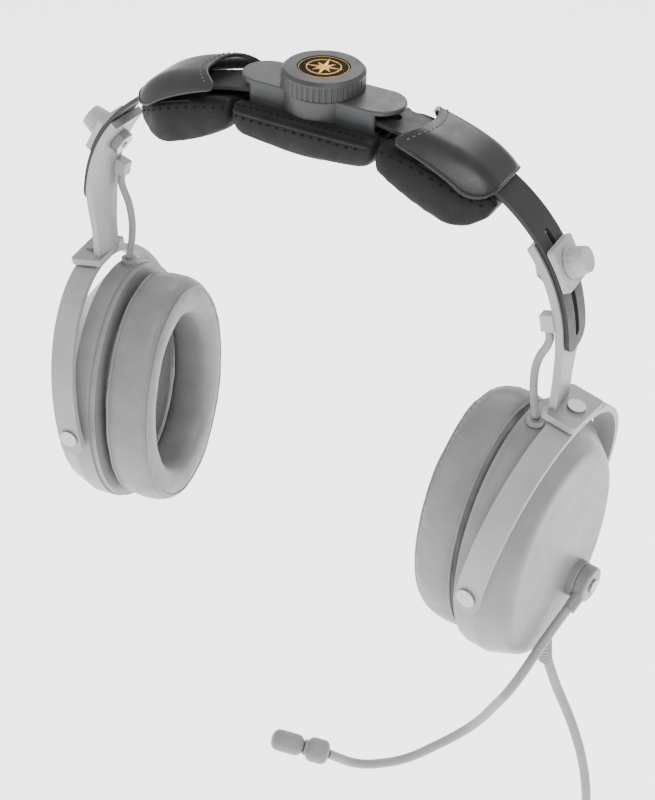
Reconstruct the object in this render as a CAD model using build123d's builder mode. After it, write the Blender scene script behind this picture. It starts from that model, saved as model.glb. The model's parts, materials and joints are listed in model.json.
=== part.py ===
from build123d import *
import math
import os

os.makedirs("parts", exist_ok=True)

# Crown arch: a large arc over the head and a smaller arc down each side
CROWN_RADIUS = 180.0
CROWN_CENTRE_Z = -25.0
SIDE_RADIUS = 66.0
SIDE_START = 18.8
BAND_END = 88.0
BAND_INNER_END = 3.34
BAND_THICK = 1.5
BAND_WIDTH = 16.0
BAND_TIP_RADIUS = 6.0
HEIGHT_SLOT_WIDTH = 3.1
HEIGHT_SLOT_TOP = 49.4
HEIGHT_SLOT_LOW = 82.2
GUIDE_SLOT_WIDTH = 4.4
GUIDE_SLOT_START = 4.0
GUIDE_SLOT_END = 9.72

# Crown housing and size dial
HOUSING_WIDTH = 19.0
HOUSING_LENGTH = 63.0
BASE_LENGTH = 50.0
BASE_BOTTOM_Z = 148.4
FLOOR_TOP_Z = 149.2
CAP_BOTTOM_Z = 156.5
CAP_TOP_Z = 158.0
CHANNEL_WIDTH = 16.8
POST_X = 21.5
POST_RADIUS = 1.8
BARREL_RADIUS = 14.0
BARREL_BOTTOM_Z = 150.4
KNOB_RADIUS = 14.8
KNOB_BOTTOM_Z = 158.3
KNOB_TOP_Z = 165.0
KNOB_GROOVES = 44
BADGE_RADIUS = 9.3
SHAFT_RADIUS = 2.8
WEB_BOTTOM_Z = 161.4

# Rack and pinion under the bands
TOOTH_MODULE = 0.8
PINION_TEETH = 12
PITCH_RADIUS = TOOTH_MODULE * PINION_TEETH / 2
TOOTH_PITCH = math.pi * TOOTH_MODULE
ADDENDUM = 0.65
DEDENDUM = 0.9
RACK_REACH = 11.0
RACK_BACK_Y = 7.8
RACK_TOP_RADIUS = 178.95
RACK_LOW_RADIUS = 176.2

# Crown pads and leather sleeves
PAD_HALF_WIDTH = 18.0
PAD_SPLIT_X = 28.0
PAD_SPLIT_Z = 141.5
PAD_MID_Z = 138.8
PAD_TOP_Z = 150.0
PAD_END = 34.0
SLEEVE_END = 30.0
SLEEVE_START_X = 34.5
SLEEVE_HALF_WIDTH = 17.2
SLEEVE_TIP_HALF = 9.6
SLEEVE_GAP = 1.1
LEATHER = 1.6
BAND_TRAVEL = 2.2

# Height arms and their clamps
ARM_OUTER = 64.9
ARM_THICK = 3.0
ARM_TOP = 49.5
ARM_BOTTOM_Z = 58.6
ARM_HALF_WIDTH = 9.0
ARM_NARROW_HALF = 6.5
CLAMP_ANGLE = 60.0
CLAMP_SIZE = 16.0
CLAMP_OUTER = 69.2
SCREW_RADIUS = 1.3
THUMB_LENGTH = 6.5
THUMB_BASE_RADIUS = 5.75
THUMB_END_RADIUS = 4.5

# Ear cups: centre of the pivot axis, turned in at the front
CUP_X = 98.0
CUP_Y = 2.0
CUP_Z = -4.0
CUP_YAW = 8.5
CUP_LEAN = 0.0
YOKE_LEAN = 8.0
CUP_HALF_WIDTH = 43.5
CUP_HALF_HEIGHT = 57.0
CUP_DROP = 1.5
CUP_WALL = 2.5
SEAM_W = -6.5
SHOULDER_W = 1.0
FACE_W = 13.5
FACE_HALF_WIDTH = 37.0
FACE_HALF_HEIGHT = 46.0
FACE_DROP = 7.0
BAFFLE_THICK = 2.5
SEAL_DEPTH = 23.5
SEAL_HALF_WIDTH = 41.5
SEAL_HALF_HEIGHT = 55.5
EAR_HALF_WIDTH = 24.5
EAR_HALF_HEIGHT = 36.0

# Yoke around each cup
YOKE_HALF_SPAN = 48.5
YOKE_TOP = 61.0
YOKE_THICK = 2.5
YOKE_WIDTH = 10.0
YOKE_LEG = 8.0
FOOT_BOTTOM = 61.4
FOOT_THICK = 2.7
PIN_RADIUS = 2.5

# Boom, microphone and cords
BOSS_F = 16.0
BOSS_UP = -30.0
BOSS_RADIUS = 8.0
BOSS_HEIGHT = 3.0
PIVOT_HEIGHT = 4.7
BOOM_RADIUS = 1.9
LEAD_RADIUS = 1.5
CABLE_RADIUS = 2.2
COIL_RADIUS = 26.0
COIL_SECTION = 8.5
COIL_CENTRE = (135.0, 30.4, -289.0)
TIE_SECTION = 10.1
TIE_ARC = 22.0
TAIL_OUT = 31.8
TAIL_SIDE = -4.2
TAIL_LENGTH = 24.0
PLUG_PIN_RADIUS = 3.57
PLUG_PIN_LENGTH = 30.0

# Lead from cup to arm and strain relief of the main cable
LEAD_ARC = 59.6
LEAD_Y = -7.5
LEAD_END = 75.0
CLIP_ANGLE = 76.0
GROMMET_BACK = -7.0
GROMMET_OUT = -3.0
GROMMET_LOW = 51.6
RELIEF_BACK = 6.0
RELIEF_OUT = 5.5
RELIEF_DIR = (0.13, 0.22, -0.967)
RELIEF_LENGTH = 29.0

SIDES = {"left": 1, "right": -1}


def polar(centre, radius, angle):
    """Point in the arch plane, the angle measured from straight up."""
    turn = math.radians(angle)
    return (centre[0] + radius * math.sin(turn), centre[1] + radius * math.cos(turn))


CROWN_CENTRE = (0.0, CROWN_CENTRE_Z)
SIDE_CENTRE = polar(CROWN_CENTRE, CROWN_RADIUS - SIDE_RADIUS, SIDE_START)


def mirrored(side, point):
    return (side * point[0], point[1])


def arch_arc(side, centre, radius, start, end):
    first = mirrored(side, polar(centre, radius, start))
    middle = mirrored(side, polar(centre, radius, (start + end) / 2))
    last = mirrored(side, polar(centre, radius, end))
    ThreePointArc(first, middle, last)


def arch_strip(side, start, end, low, high):
    """Outline between two offsets of the arch, from the crown down the side."""
    crown = (CROWN_RADIUS + low, CROWN_RADIUS + high)
    flank = (SIDE_RADIUS + low, SIDE_RADIUS + high)
    with BuildLine() as outline:
        arch_arc(side, CROWN_CENTRE, crown[1], start, SIDE_START)
        arch_arc(side, SIDE_CENTRE, flank[1], SIDE_START, end)
        Line(
            mirrored(side, polar(SIDE_CENTRE, flank[1], end)),
            mirrored(side, polar(SIDE_CENTRE, flank[0], end)),
        )
        arch_arc(side, SIDE_CENTRE, flank[0], end, SIDE_START)
        arch_arc(side, CROWN_CENTRE, crown[0], SIDE_START, start)
        Line(
            mirrored(side, polar(CROWN_CENTRE, crown[0], start)),
            mirrored(side, polar(CROWN_CENTRE, crown[1], start)),
        )
    make_face(outline.edges())


def ring_sector(side, centre, inner, outer, start, end):
    """Outline of one curved block between two radii."""
    with BuildLine() as outline:
        arch_arc(side, centre, outer, start, end)
        Line(mirrored(side, polar(centre, outer, end)), mirrored(side, polar(centre, inner, end)))
        arch_arc(side, centre, inner, end, start)
        Line(mirrored(side, polar(centre, inner, start)), mirrored(side, polar(centre, outer, start)))
    make_face(outline.edges())


def flank_plane(side, angle, radius):
    """Plane square to the side arc; local x runs across the band, y up the band."""
    turn = math.radians(angle)
    spot = polar(SIDE_CENTRE, radius, angle)
    return Plane(
        origin=(side * spot[0], 0, spot[1]),
        x_dir=(0, side, 0),
        z_dir=(side * math.sin(turn), 0, math.cos(turn)),
    )


def crown_plane(side, angle, radius):
    turn = math.radians(angle)
    spot = polar(CROWN_CENTRE, radius, angle)
    return Plane(
        origin=(side * spot[0], 0, spot[1]),
        x_dir=(0, side, 0),
        z_dir=(side * math.sin(turn), 0, math.cos(turn)),
    )


def swung_plane(angle):
    """The arch plane turned about the crown arc's centre, as the strips slide."""
    turn = math.radians(angle)
    return Plane(
        origin=(-CROWN_CENTRE_Z * math.sin(turn), 0, CROWN_CENTRE_Z * (1 - math.cos(turn))),
        x_dir=(math.cos(turn), 0, -math.sin(turn)),
        z_dir=(0, -1, 0),
    )


def frame_axes(side, lean_angle):
    """Backward, upward and outward directions at one ear for a given inward lean."""
    yaw = math.radians(CUP_YAW)
    lean = math.radians(lean_angle)
    back = Vector(side * math.sin(yaw), math.cos(yaw), 0)
    up = Vector(
        side * math.sin(lean) * math.cos(yaw),
        -math.sin(lean) * math.sin(yaw),
        math.cos(lean),
    )
    out = Vector(
        side * math.cos(lean) * math.cos(yaw),
        -math.cos(lean) * math.sin(yaw),
        -math.sin(lean),
    )
    return back, up, out


def frame_point(side, lean_angle, back_mm, up_mm, out_mm):
    back, up, out = frame_axes(side, lean_angle)
    centre = Vector(side * CUP_X, CUP_Y, CUP_Z)
    return centre + back * back_mm + up * up_mm + out * out_mm


def cup_point(side, back_mm, up_mm, out_mm):
    return frame_point(side, CUP_LEAN, back_mm, up_mm, out_mm)


def cup_plane(side, out_mm):
    """Plane across the cup; local x is side times backward, local y is up."""
    back, up, out = frame_axes(side, CUP_LEAN)
    return Plane(origin=cup_point(side, 0, 0, out_mm), x_dir=back * side, z_dir=out)


def yoke_plane(side, out_mm):
    """Plane across the yoke, leaning more than the cup."""
    back, up, out = frame_axes(side, YOKE_LEAN)
    spot = frame_point(side, YOKE_LEAN, 0, 0, out_mm)
    return Plane(origin=spot, x_dir=back * side, z_dir=out)


def top_plane(side, up_mm):
    """Plane square to the yoke's upward direction; local y points inward."""
    back, up, out = frame_axes(side, YOKE_LEAN)
    spot = frame_point(side, YOKE_LEAN, 0, up_mm, 0)
    return Plane(origin=spot, x_dir=back * side, z_dir=up)


def lead_point(side, radius, angle):
    """Point on the lead's arc under the arm, in front on the left, behind on the right."""
    spot = polar(SIDE_CENTRE, radius, angle)
    return Vector(side * spot[0], side * LEAD_Y, spot[1])


def relief_start(step):
    """Point on the strain relief's axis, inside the shell wall at step 0."""
    return cup_point(1, RELIEF_BACK, -51.0, RELIEF_OUT) + Vector(*RELIEF_DIR).normalized() * step


def save(piece, label):
    piece.part.label = label
    export_step(piece.part, "parts/" + label + ".step")


def route_wire(points, radii_name):
    """Straight runs joined by tangent arcs; prints the radii it uses."""
    runs = [(points[i + 1] - points[i]).length for i in range(len(points) - 1)]
    radii = []
    for i in range(1, len(points) - 1):
        before = points[i] - points[i - 1]
        after = points[i + 1] - points[i]
        turn = math.radians(before.get_angle(after))
        radii.append(0.45 * min(runs[i - 1], runs[i]) / math.tan(turn / 2))
    print(radii_name, "radii", [round(r, 1) for r in radii], "runs", [round(r, 1) for r in runs])
    return FilletPolyline(*points, radius=radii)


def tube(points, radius, name):
    """Round cord along a filleted route."""
    with BuildPart() as cord:
        with BuildLine() as path:
            route_wire(points, name)
        start = Plane(origin=points[0], z_dir=points[1] - points[0])
        with BuildSketch(start):
            Circle(radius)
        sweep(path=path.wires()[0])
    expected = math.pi * radius**2 * path.wires()[0].length
    print(name, "length", round(path.wires()[0].length, 1), "volume ratio",
          round(cord.part.volume / expected, 4))
    return cord


# Housing base: floor, side walls that guide both bands, and a round barrel under the dial
with BuildPart() as housing_base:
    with BuildSketch(Plane.XY.offset(BASE_BOTTOM_Z)):
        RectangleRounded(BASE_LENGTH, HOUSING_WIDTH, 2.0)
    extrude(amount=CAP_BOTTOM_Z - BASE_BOTTOM_Z)
    with BuildSketch(Plane.XY.offset(BARREL_BOTTOM_Z)):
        Circle(BARREL_RADIUS)
    extrude(amount=CAP_BOTTOM_Z - BARREL_BOTTOM_Z)
    with BuildSketch(Plane.XY.offset(FLOOR_TOP_Z)):
        Rectangle(BASE_LENGTH + 2, CHANNEL_WIDTH)
    extrude(amount=CAP_BOTTOM_Z - FLOOR_TOP_Z, mode=Mode.SUBTRACT)
    with BuildSketch(Plane.XY.offset(BASE_BOTTOM_Z)):
        Circle(1.65)
        with Locations((POST_X, 0), (-POST_X, 0)):
            Circle(1.15)
    extrude(amount=2.0, mode=Mode.SUBTRACT)
save(housing_base, "housing_base")

# Housing cap: long round-ended lid with two posts that double as travel stops
with BuildPart() as housing_cap:
    with BuildSketch(Plane.XY.offset(CAP_BOTTOM_Z)):
        SlotOverall(HOUSING_LENGTH, HOUSING_WIDTH)
        Circle(BARREL_RADIUS)
    extrude(amount=CAP_TOP_Z - CAP_BOTTOM_Z)
    fillet(housing_cap.edges().group_by(Axis.Z)[-1], radius=0.6)
    with BuildSketch(Plane.XY.offset(FLOOR_TOP_Z)):
        with Locations((POST_X, 0), (-POST_X, 0)):
            Circle(POST_RADIUS)
    extrude(amount=CAP_BOTTOM_Z - FLOOR_TOP_Z)
    with BuildSketch(Plane.XY.offset(FLOOR_TOP_Z)):
        with Locations((POST_X, 0), (-POST_X, 0)):
            Circle(0.9)
    extrude(amount=6.0, mode=Mode.SUBTRACT)
    with BuildSketch(Plane.XY.offset(CAP_BOTTOM_Z)):
        Circle(SHAFT_RADIUS + 0.25)
    extrude(amount=3.0, mode=Mode.SUBTRACT)
save(housing_cap, "housing_cap")

# Two screws up through the floor into the posts
with BuildPart() as housing_screws:
    with BuildSketch(Plane.XY.offset(BASE_BOTTOM_Z - 1.0)):
        with Locations((POST_X, 0), (-POST_X, 0)):
            Circle(1.9)
    extrude(amount=1.0)
    with BuildSketch(Plane.XY.offset(BASE_BOTTOM_Z)):
        with Locations((POST_X, 0), (-POST_X, 0)):
            Circle(0.85)
    extrude(amount=6.0)
save(housing_screws, "housing_screws")

# Friction washer between cap and dial
with BuildPart() as friction_washer:
    with BuildSketch(Plane.XY.offset(CAP_TOP_Z)):
        Circle(8.0)
        Circle(3.6, mode=Mode.SUBTRACT)
    extrude(amount=0.6)
save(friction_washer, "friction_washer")

# Size dial with a grooved rim, a badge recess and a screw pocket
with BuildPart() as dial_knob:
    with BuildSketch(Plane.XY.offset(KNOB_BOTTOM_Z)):
        Circle(KNOB_RADIUS)
    extrude(amount=KNOB_TOP_Z - KNOB_BOTTOM_Z)
    chamfer(dial_knob.edges().group_by(Axis.Z)[-1], length=1.1)
    with BuildSketch(Plane.XY.offset(KNOB_BOTTOM_Z)):
        with PolarLocations(KNOB_RADIUS + 0.15, KNOB_GROOVES):
            Circle(0.5)
    extrude(amount=4.9, mode=Mode.SUBTRACT)
    with BuildSketch(Plane.XY.offset(KNOB_BOTTOM_Z)):
        Circle(8.6)
    extrude(amount=0.6, mode=Mode.SUBTRACT)
    with BuildSketch(Plane.XY.offset(KNOB_BOTTOM_Z)):
        Circle(SHAFT_RADIUS)
    extrude(amount=WEB_BOTTOM_Z - KNOB_BOTTOM_Z, mode=Mode.SUBTRACT)
    with BuildSketch(Plane.XY.offset(WEB_BOTTOM_Z)):
        Circle(1.3)
    extrude(amount=2.0, mode=Mode.SUBTRACT)
    with BuildSketch(Plane.XY.offset(WEB_BOTTOM_Z + 0.9)):
        Circle(3.2)
    extrude(amount=3.0, mode=Mode.SUBTRACT)
    with BuildSketch(Plane.XY.offset(KNOB_TOP_Z - 1.1)):
        Circle(BADGE_RADIUS)
    extrude(amount=2.0, mode=Mode.SUBTRACT)
save(dial_knob, "dial_knob")

# Badge disc that closes the screw pocket
with BuildPart() as dial_badge:
    with BuildSketch(Plane.XY.offset(KNOB_TOP_Z - 1.1)):
        Circle(BADGE_RADIUS - 0.1)
    extrude(amount=0.8)
save(dial_badge, "dial_badge")

# Screw holding the dial on the pinion shaft
with BuildPart() as dial_screw:
    with BuildSketch(Plane.XY.offset(WEB_BOTTOM_Z + 0.9)):
        Circle(2.8)
    extrude(amount=1.3)
    with BuildSketch(Plane.XY.offset(WEB_BOTTOM_Z - 5.0)):
        Circle(1.1)
    extrude(amount=5.9)
save(dial_screw, "dial_screw")


# Pinion with its shaft and lower journal; a tooth gap faces each rack
with BuildPart() as dial_pinion:
    with BuildSketch(Plane.XY.offset(150.5)):
        Circle(PITCH_RADIUS - DEDENDUM)
        for index in range(PINION_TEETH):
            with Locations(Location((0, 0, 0), (0, 0, index * 360 / PINION_TEETH))):
                Polygon(
                    (3.4, -0.9),
                    (PITCH_RADIUS + ADDENDUM, -0.36),
                    (PITCH_RADIUS + ADDENDUM, 0.36),
                    (3.4, 0.9),
                    align=None,
                )
    extrude(amount=3.1)
    with BuildSketch(Plane.XY.offset(153.6)):
        Circle(SHAFT_RADIUS)
    extrude(amount=WEB_BOTTOM_Z - 153.6)
    with BuildSketch(Plane.XY.offset(148.6)):
        Circle(1.5)
    extrude(amount=1.9)
    with BuildSketch(Plane.XY.offset(WEB_BOTTOM_Z - 5.0)):
        Circle(1.1)
    extrude(amount=5.0, mode=Mode.SUBTRACT)
save(dial_pinion, "dial_pinion")

# Centre crown pad, deepest in the middle, with a pocket for plate and housing
with BuildPart() as centre_pad:
    with BuildSketch(Plane.XZ):
        with BuildLine():
            Polyline(
                (-PAD_SPLIT_X, PAD_SPLIT_Z),
                (-PAD_SPLIT_X, PAD_TOP_Z),
                (PAD_SPLIT_X, PAD_TOP_Z),
                (PAD_SPLIT_X, PAD_SPLIT_Z),
            )
            ThreePointArc((PAD_SPLIT_X, PAD_SPLIT_Z), (0, PAD_MID_Z), (-PAD_SPLIT_X, PAD_SPLIT_Z))
        make_face()
    extrude(amount=PAD_HALF_WIDTH, both=True)
    long_edges = centre_pad.edges().filter_by(lambda e: abs(e.center().Y) > PAD_HALF_WIDTH - 0.1)
    fillet(long_edges.filter_by(lambda e: e.length > 30), radius=2.5)
    with BuildSketch(Plane.XY.offset(BASE_BOTTOM_Z - 1.0)):
        Rectangle(2 * PAD_SPLIT_X + 2, HOUSING_WIDTH + 1.6)
    extrude(amount=10, mode=Mode.SUBTRACT)
save(centre_pad, "centre_pad")

# Plate between the housing and the centre pad
with BuildPart() as pad_plate:
    with BuildSketch(Plane.XY.offset(BASE_BOTTOM_Z - 1.0)):
        RectangleRounded(BASE_LENGTH, HOUSING_WIDTH, 2.0)
        with Locations((POST_X, 0), (-POST_X, 0)):
            Circle(2.2, mode=Mode.SUBTRACT)
    extrude(amount=1.0)
save(pad_plate, "pad_plate")


def rack_gap(side, index):
    """One tooth space of a rack, tapered like the pinion teeth."""
    centre_x = index * TOOTH_PITCH
    edge = side * -1.0
    tip_y = edge * (PITCH_RADIUS - ADDENDUM - 0.3)
    pitch_y = edge * PITCH_RADIUS
    root_y = edge * (PITCH_RADIUS + DEDENDUM)
    Polygon(
        (centre_x - 1.05, tip_y),
        (centre_x - 0.75, pitch_y),
        (centre_x - 0.5, root_y),
        (centre_x + 0.5, root_y),
        (centre_x + 0.75, pitch_y),
        (centre_x + 1.05, tip_y),
        align=None,
    )


def make_band(side, name):
    """Spring strip with a guide slot in the housing and a height slot at the side."""
    with BuildPart() as band:
        with BuildSketch(Plane.XZ):
            arch_strip(side, BAND_INNER_END, BAND_END, -BAND_THICK / 2, BAND_THICK / 2)
        extrude(amount=BAND_WIDTH / 2, both=True)
        tip = band.faces().sort_by(Axis.Z)[0]
        corners = tip.edges().filter_by(Axis.Y, reverse=True)
        fillet(corners, radius=BAND_TIP_RADIUS)
        with BuildSketch(Plane.XZ):
            ring_sector(side, SIDE_CENTRE, SIDE_RADIUS - 3, SIDE_RADIUS + 3,
                        HEIGHT_SLOT_TOP, HEIGHT_SLOT_LOW)
        extrude(amount=HEIGHT_SLOT_WIDTH / 2, both=True, mode=Mode.SUBTRACT)
        for angle in (HEIGHT_SLOT_TOP, HEIGHT_SLOT_LOW):
            with BuildSketch(flank_plane(side, angle, SIDE_RADIUS - 3)):
                Circle(HEIGHT_SLOT_WIDTH / 2)
            extrude(amount=6, mode=Mode.SUBTRACT)
        with BuildSketch(Plane.XZ):
            ring_sector(side, CROWN_CENTRE, CROWN_RADIUS - 3, CROWN_RADIUS + 3,
                        GUIDE_SLOT_START + 0.7, GUIDE_SLOT_END - 0.7)
        extrude(amount=GUIDE_SLOT_WIDTH / 2, both=True, mode=Mode.SUBTRACT)
        for angle in (GUIDE_SLOT_START + 0.7, GUIDE_SLOT_END - 0.7):
            with BuildSketch(crown_plane(side, angle, CROWN_RADIUS - 3)):
                Circle(GUIDE_SLOT_WIDTH / 2)
            extrude(amount=6, mode=Mode.SUBTRACT)
    save(band, name + "_band")


def make_rack(side, name):
    """Toothed rack hung under the band's inner end, running past the pinion."""
    reach = math.degrees(math.asin(RACK_REACH / RACK_TOP_RADIUS))
    outer_end = 6.9
    with BuildPart() as rack:
        with BuildSketch(Plane.XZ):
            ring_sector(side, CROWN_CENTRE, RACK_LOW_RADIUS, RACK_TOP_RADIUS, -reach, outer_end)
        extrude(amount=RACK_BACK_Y, both=True)
        with BuildSketch(Plane.XZ):
            ring_sector(side, CROWN_CENTRE, RACK_TOP_RADIUS - 0.5,
                        CROWN_RADIUS - BAND_THICK / 2, BAND_INNER_END, outer_end)
        extrude(amount=RACK_BACK_Y, both=True)
        with BuildSketch(Plane.XY.offset(140)):
            with Locations((0, side * (40 - PITCH_RADIUS + ADDENDUM))):
                Rectangle(120, 80)
        extrude(amount=20, mode=Mode.SUBTRACT)
        with BuildSketch(Plane.XY.offset(140)):
            for index in range(-8, 8):
                if abs(index * TOOTH_PITCH) < 17:
                    rack_gap(side, index)
        extrude(amount=20, mode=Mode.SUBTRACT)
    save(rack, name + "_rack")


print("pinion pitch radius", PITCH_RADIUS, "pitch", round(TOOTH_PITCH, 3))
for side_name, sign in SIDES.items():
    make_band(sign, side_name)
    make_rack(sign, side_name)


def make_side_pad(side, name):
    """Side crown pad under the sleeve."""
    skin = CROWN_RADIUS - SLEEVE_GAP - LEATHER
    flank = SIDE_RADIUS - SLEEVE_GAP - LEATHER
    start = math.degrees(math.asin(PAD_SPLIT_X / skin))
    outer_top = polar(SIDE_CENTRE, flank, PAD_END)
    outer_low = polar(SIDE_CENTRE, 54.3, PAD_END)
    start_top = polar(CROWN_CENTRE, skin, start)
    with BuildPart() as pad:
        with BuildSketch(Plane.XZ):
            with BuildLine() as outline:
                arch_arc(side, CROWN_CENTRE, skin, start, SIDE_START)
                arch_arc(side, SIDE_CENTRE, flank, SIDE_START, PAD_END)
                Line(mirrored(side, outer_top), mirrored(side, outer_low))
                ThreePointArc(
                    mirrored(side, outer_low),
                    mirrored(side, (47.5, 131.8)),
                    (side * PAD_SPLIT_X, PAD_SPLIT_Z),
                )
                Line((side * PAD_SPLIT_X, PAD_SPLIT_Z), mirrored(side, start_top))
            make_face(outline.edges())
        extrude(amount=PAD_HALF_WIDTH, both=True)
        with BuildSketch(Plane.XY.offset(110)):
            for front in (1, -1):
                Polygon(
                    (side * 61, front * PAD_HALF_WIDTH),
                    (side * 73, front * 10.5),
                    (side * 90, front * 10.5),
                    (side * 90, front * (PAD_HALF_WIDTH + 5)),
                    (side * 61, front * (PAD_HALF_WIDTH + 5)),
                    align=None,
                )
        extrude(amount=60, mode=Mode.SUBTRACT)
        rims = pad.edges().filter_by(
            lambda e: abs(e.center().Y) > PAD_HALF_WIDTH - 0.1 and e.length > 20
        )
        fillet(rims.sort_by(Axis.Z)[0:2], radius=3.5)
    save(pad, name + "_pad")


def make_sleeve(side, name):
    """Leather sleeve around band and pad top, wide inside and narrow outside."""
    low = -SLEEVE_GAP - LEATHER
    high = SLEEVE_GAP + LEATHER
    start = math.degrees(math.asin(SLEEVE_START_X / CROWN_RADIUS))
    with BuildPart() as sleeve:
        with BuildSketch(Plane.XZ):
            arch_strip(side, start, SLEEVE_END, low, high)
        extrude(amount=SLEEVE_HALF_WIDTH, both=True)
        for travel in (-BAND_TRAVEL, 0, BAND_TRAVEL):
            with BuildSketch(swung_plane(travel)):
                arch_strip(side, start - 5, SLEEVE_END + 9, -SLEEVE_GAP, SLEEVE_GAP)
            extrude(amount=BAND_WIDTH / 2 + 0.4, both=True, mode=Mode.SUBTRACT)
        with BuildSketch(Plane.XY.offset(120)):
            for front in (1, -1):
                Polygon(
                    (side * 60, front * SLEEVE_HALF_WIDTH),
                    (side * 70, front * SLEEVE_TIP_HALF),
                    (side * 90, front * SLEEVE_TIP_HALF),
                    (side * 90, front * (SLEEVE_HALF_WIDTH + 5)),
                    (side * 60, front * (SLEEVE_HALF_WIDTH + 5)),
                    align=None,
                )
        extrude(amount=60, mode=Mode.SUBTRACT)
        with BuildSketch(Plane.XY.offset(120)):
            with Locations((side * (SLEEVE_START_X - 6), 0)):
                Ellipse(14, 15)
        extrude(amount=60, mode=Mode.SUBTRACT)
    save(sleeve, name + "_sleeve")


def make_arm(side, name):
    """Curved height arm inside the band, straight below, with a foot for the yoke."""
    inner = ARM_OUTER - ARM_THICK
    end_x = SIDE_CENTRE[0] + ARM_OUTER
    outer_low = (side * end_x, ARM_BOTTOM_Z)
    inner_low = (side * (end_x - ARM_THICK), ARM_BOTTOM_Z)
    with BuildPart() as arm:
        with BuildSketch(Plane.XZ):
            with BuildLine() as outline:
                arch_arc(side, SIDE_CENTRE, ARM_OUTER, ARM_TOP, 90)
                Line(mirrored(side, polar(SIDE_CENTRE, ARM_OUTER, 90)), outer_low)
                Line(outer_low, inner_low)
                Line(inner_low, mirrored(side, polar(SIDE_CENTRE, inner, 90)))
                arch_arc(side, SIDE_CENTRE, inner, 90, ARM_TOP)
                Line(
                    mirrored(side, polar(SIDE_CENTRE, inner, ARM_TOP)),
                    mirrored(side, polar(SIDE_CENTRE, ARM_OUTER, ARM_TOP)),
                )
            make_face(outline.edges())
        extrude(amount=ARM_HALF_WIDTH, both=True)
        with BuildSketch(Plane.YZ.offset(-150)):
            for front in (1, -1):
                Polygon(
                    (front * ARM_NARROW_HALF, ARM_BOTTOM_Z - 3),
                    (front * ARM_NARROW_HALF, 72),
                    (front * (ARM_HALF_WIDTH + 0.5), 96),
                    (front * 14, 96),
                    (front * 14, ARM_BOTTOM_Z - 3),
                    align=None,
                )
        extrude(amount=300, mode=Mode.SUBTRACT)
        with BuildSketch(top_plane(side, FOOT_BOTTOM)):
            with Locations((0, 1.4)):
                RectangleRounded(22, 14, 1.5)
        extrude(amount=FOOT_THICK)
        with BuildSketch(top_plane(side, FOOT_BOTTOM - 2)):
            Circle(2.0)
        extrude(amount=8, mode=Mode.SUBTRACT)
        with BuildSketch(flank_plane(side, CLAMP_ANGLE, inner - 3)):
            Circle(SCREW_RADIUS + 0.25)
        extrude(amount=10, mode=Mode.SUBTRACT)
    save(arm, name + "_arm")


def make_clamp_block(side, name):
    """Square clamp plate over the outside of the band."""
    with BuildPart() as block:
        with BuildSketch(flank_plane(side, CLAMP_ANGLE, SIDE_RADIUS - 1)):
            RectangleRounded(CLAMP_SIZE, CLAMP_SIZE, 1.5)
        extrude(amount=CLAMP_OUTER - SIDE_RADIUS + 1)
        with BuildSketch(Plane.XZ):
            with Locations(mirrored(side, SIDE_CENTRE)):
                Circle(SIDE_RADIUS + BAND_THICK / 2 + 0.3)
        extrude(amount=CLAMP_SIZE, both=True, mode=Mode.SUBTRACT)
        with BuildSketch(flank_plane(side, CLAMP_ANGLE, SIDE_RADIUS - 1)):
            Circle(SCREW_RADIUS + 0.25)
        extrude(amount=8, mode=Mode.SUBTRACT)
    save(block, name + "_clamp_block")


def make_clamp_nut(side, name):
    """Nut on the inner face of the arm."""
    with BuildPart() as nut:
        with BuildSketch(flank_plane(side, CLAMP_ANGLE, ARM_OUTER - ARM_THICK - 3.7)):
            RegularPolygon(5.0, 6)
            Circle(SCREW_RADIUS + 0.25, mode=Mode.SUBTRACT)
        extrude(amount=3.5)
    save(nut, name + "_clamp_nut")


def make_thumb_screw(side, name):
    """Ribbed cone knob with its shaft through block, slot, arm and nut."""
    ribs = 14
    with BuildPart() as thumb:
        with BuildSketch(flank_plane(side, CLAMP_ANGLE, CLAMP_OUTER + 0.3)):
            Circle(THUMB_BASE_RADIUS)
        with BuildSketch(flank_plane(side, CLAMP_ANGLE, CLAMP_OUTER + 0.3 + THUMB_LENGTH)):
            Circle(THUMB_END_RADIUS)
        loft()
        with BuildSketch(flank_plane(side, CLAMP_ANGLE, CLAMP_OUTER + 1.8)):
            with PolarLocations(THUMB_BASE_RADIUS, ribs):
                Circle(0.62)
        extrude(amount=THUMB_LENGTH, mode=Mode.SUBTRACT)
        with BuildSketch(flank_plane(side, CLAMP_ANGLE, ARM_OUTER - ARM_THICK - 4.2)):
            Circle(SCREW_RADIUS)
        extrude(amount=CLAMP_OUTER - ARM_OUTER + ARM_THICK + 4.8)
    save(thumb, name + "_thumb_screw")


def make_swivel_rivet(side, name):
    """Rivet that lets the yoke turn under the foot of the arm."""
    with BuildPart() as rivet:
        with BuildSketch(top_plane(side, FOOT_BOTTOM + FOOT_THICK)):
            Circle(3.4)
        extrude(amount=1.2)
        with BuildSketch(top_plane(side, YOKE_TOP - YOKE_THICK - 1.2)):
            Circle(1.95)
        extrude(amount=FOOT_BOTTOM + FOOT_THICK - YOKE_TOP + YOKE_THICK + 1.3)
        with BuildSketch(top_plane(side, YOKE_TOP - YOKE_THICK - 1.2)):
            Circle(3.2)
        extrude(amount=1.0)
    save(rivet, name + "_swivel_rivet")


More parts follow.
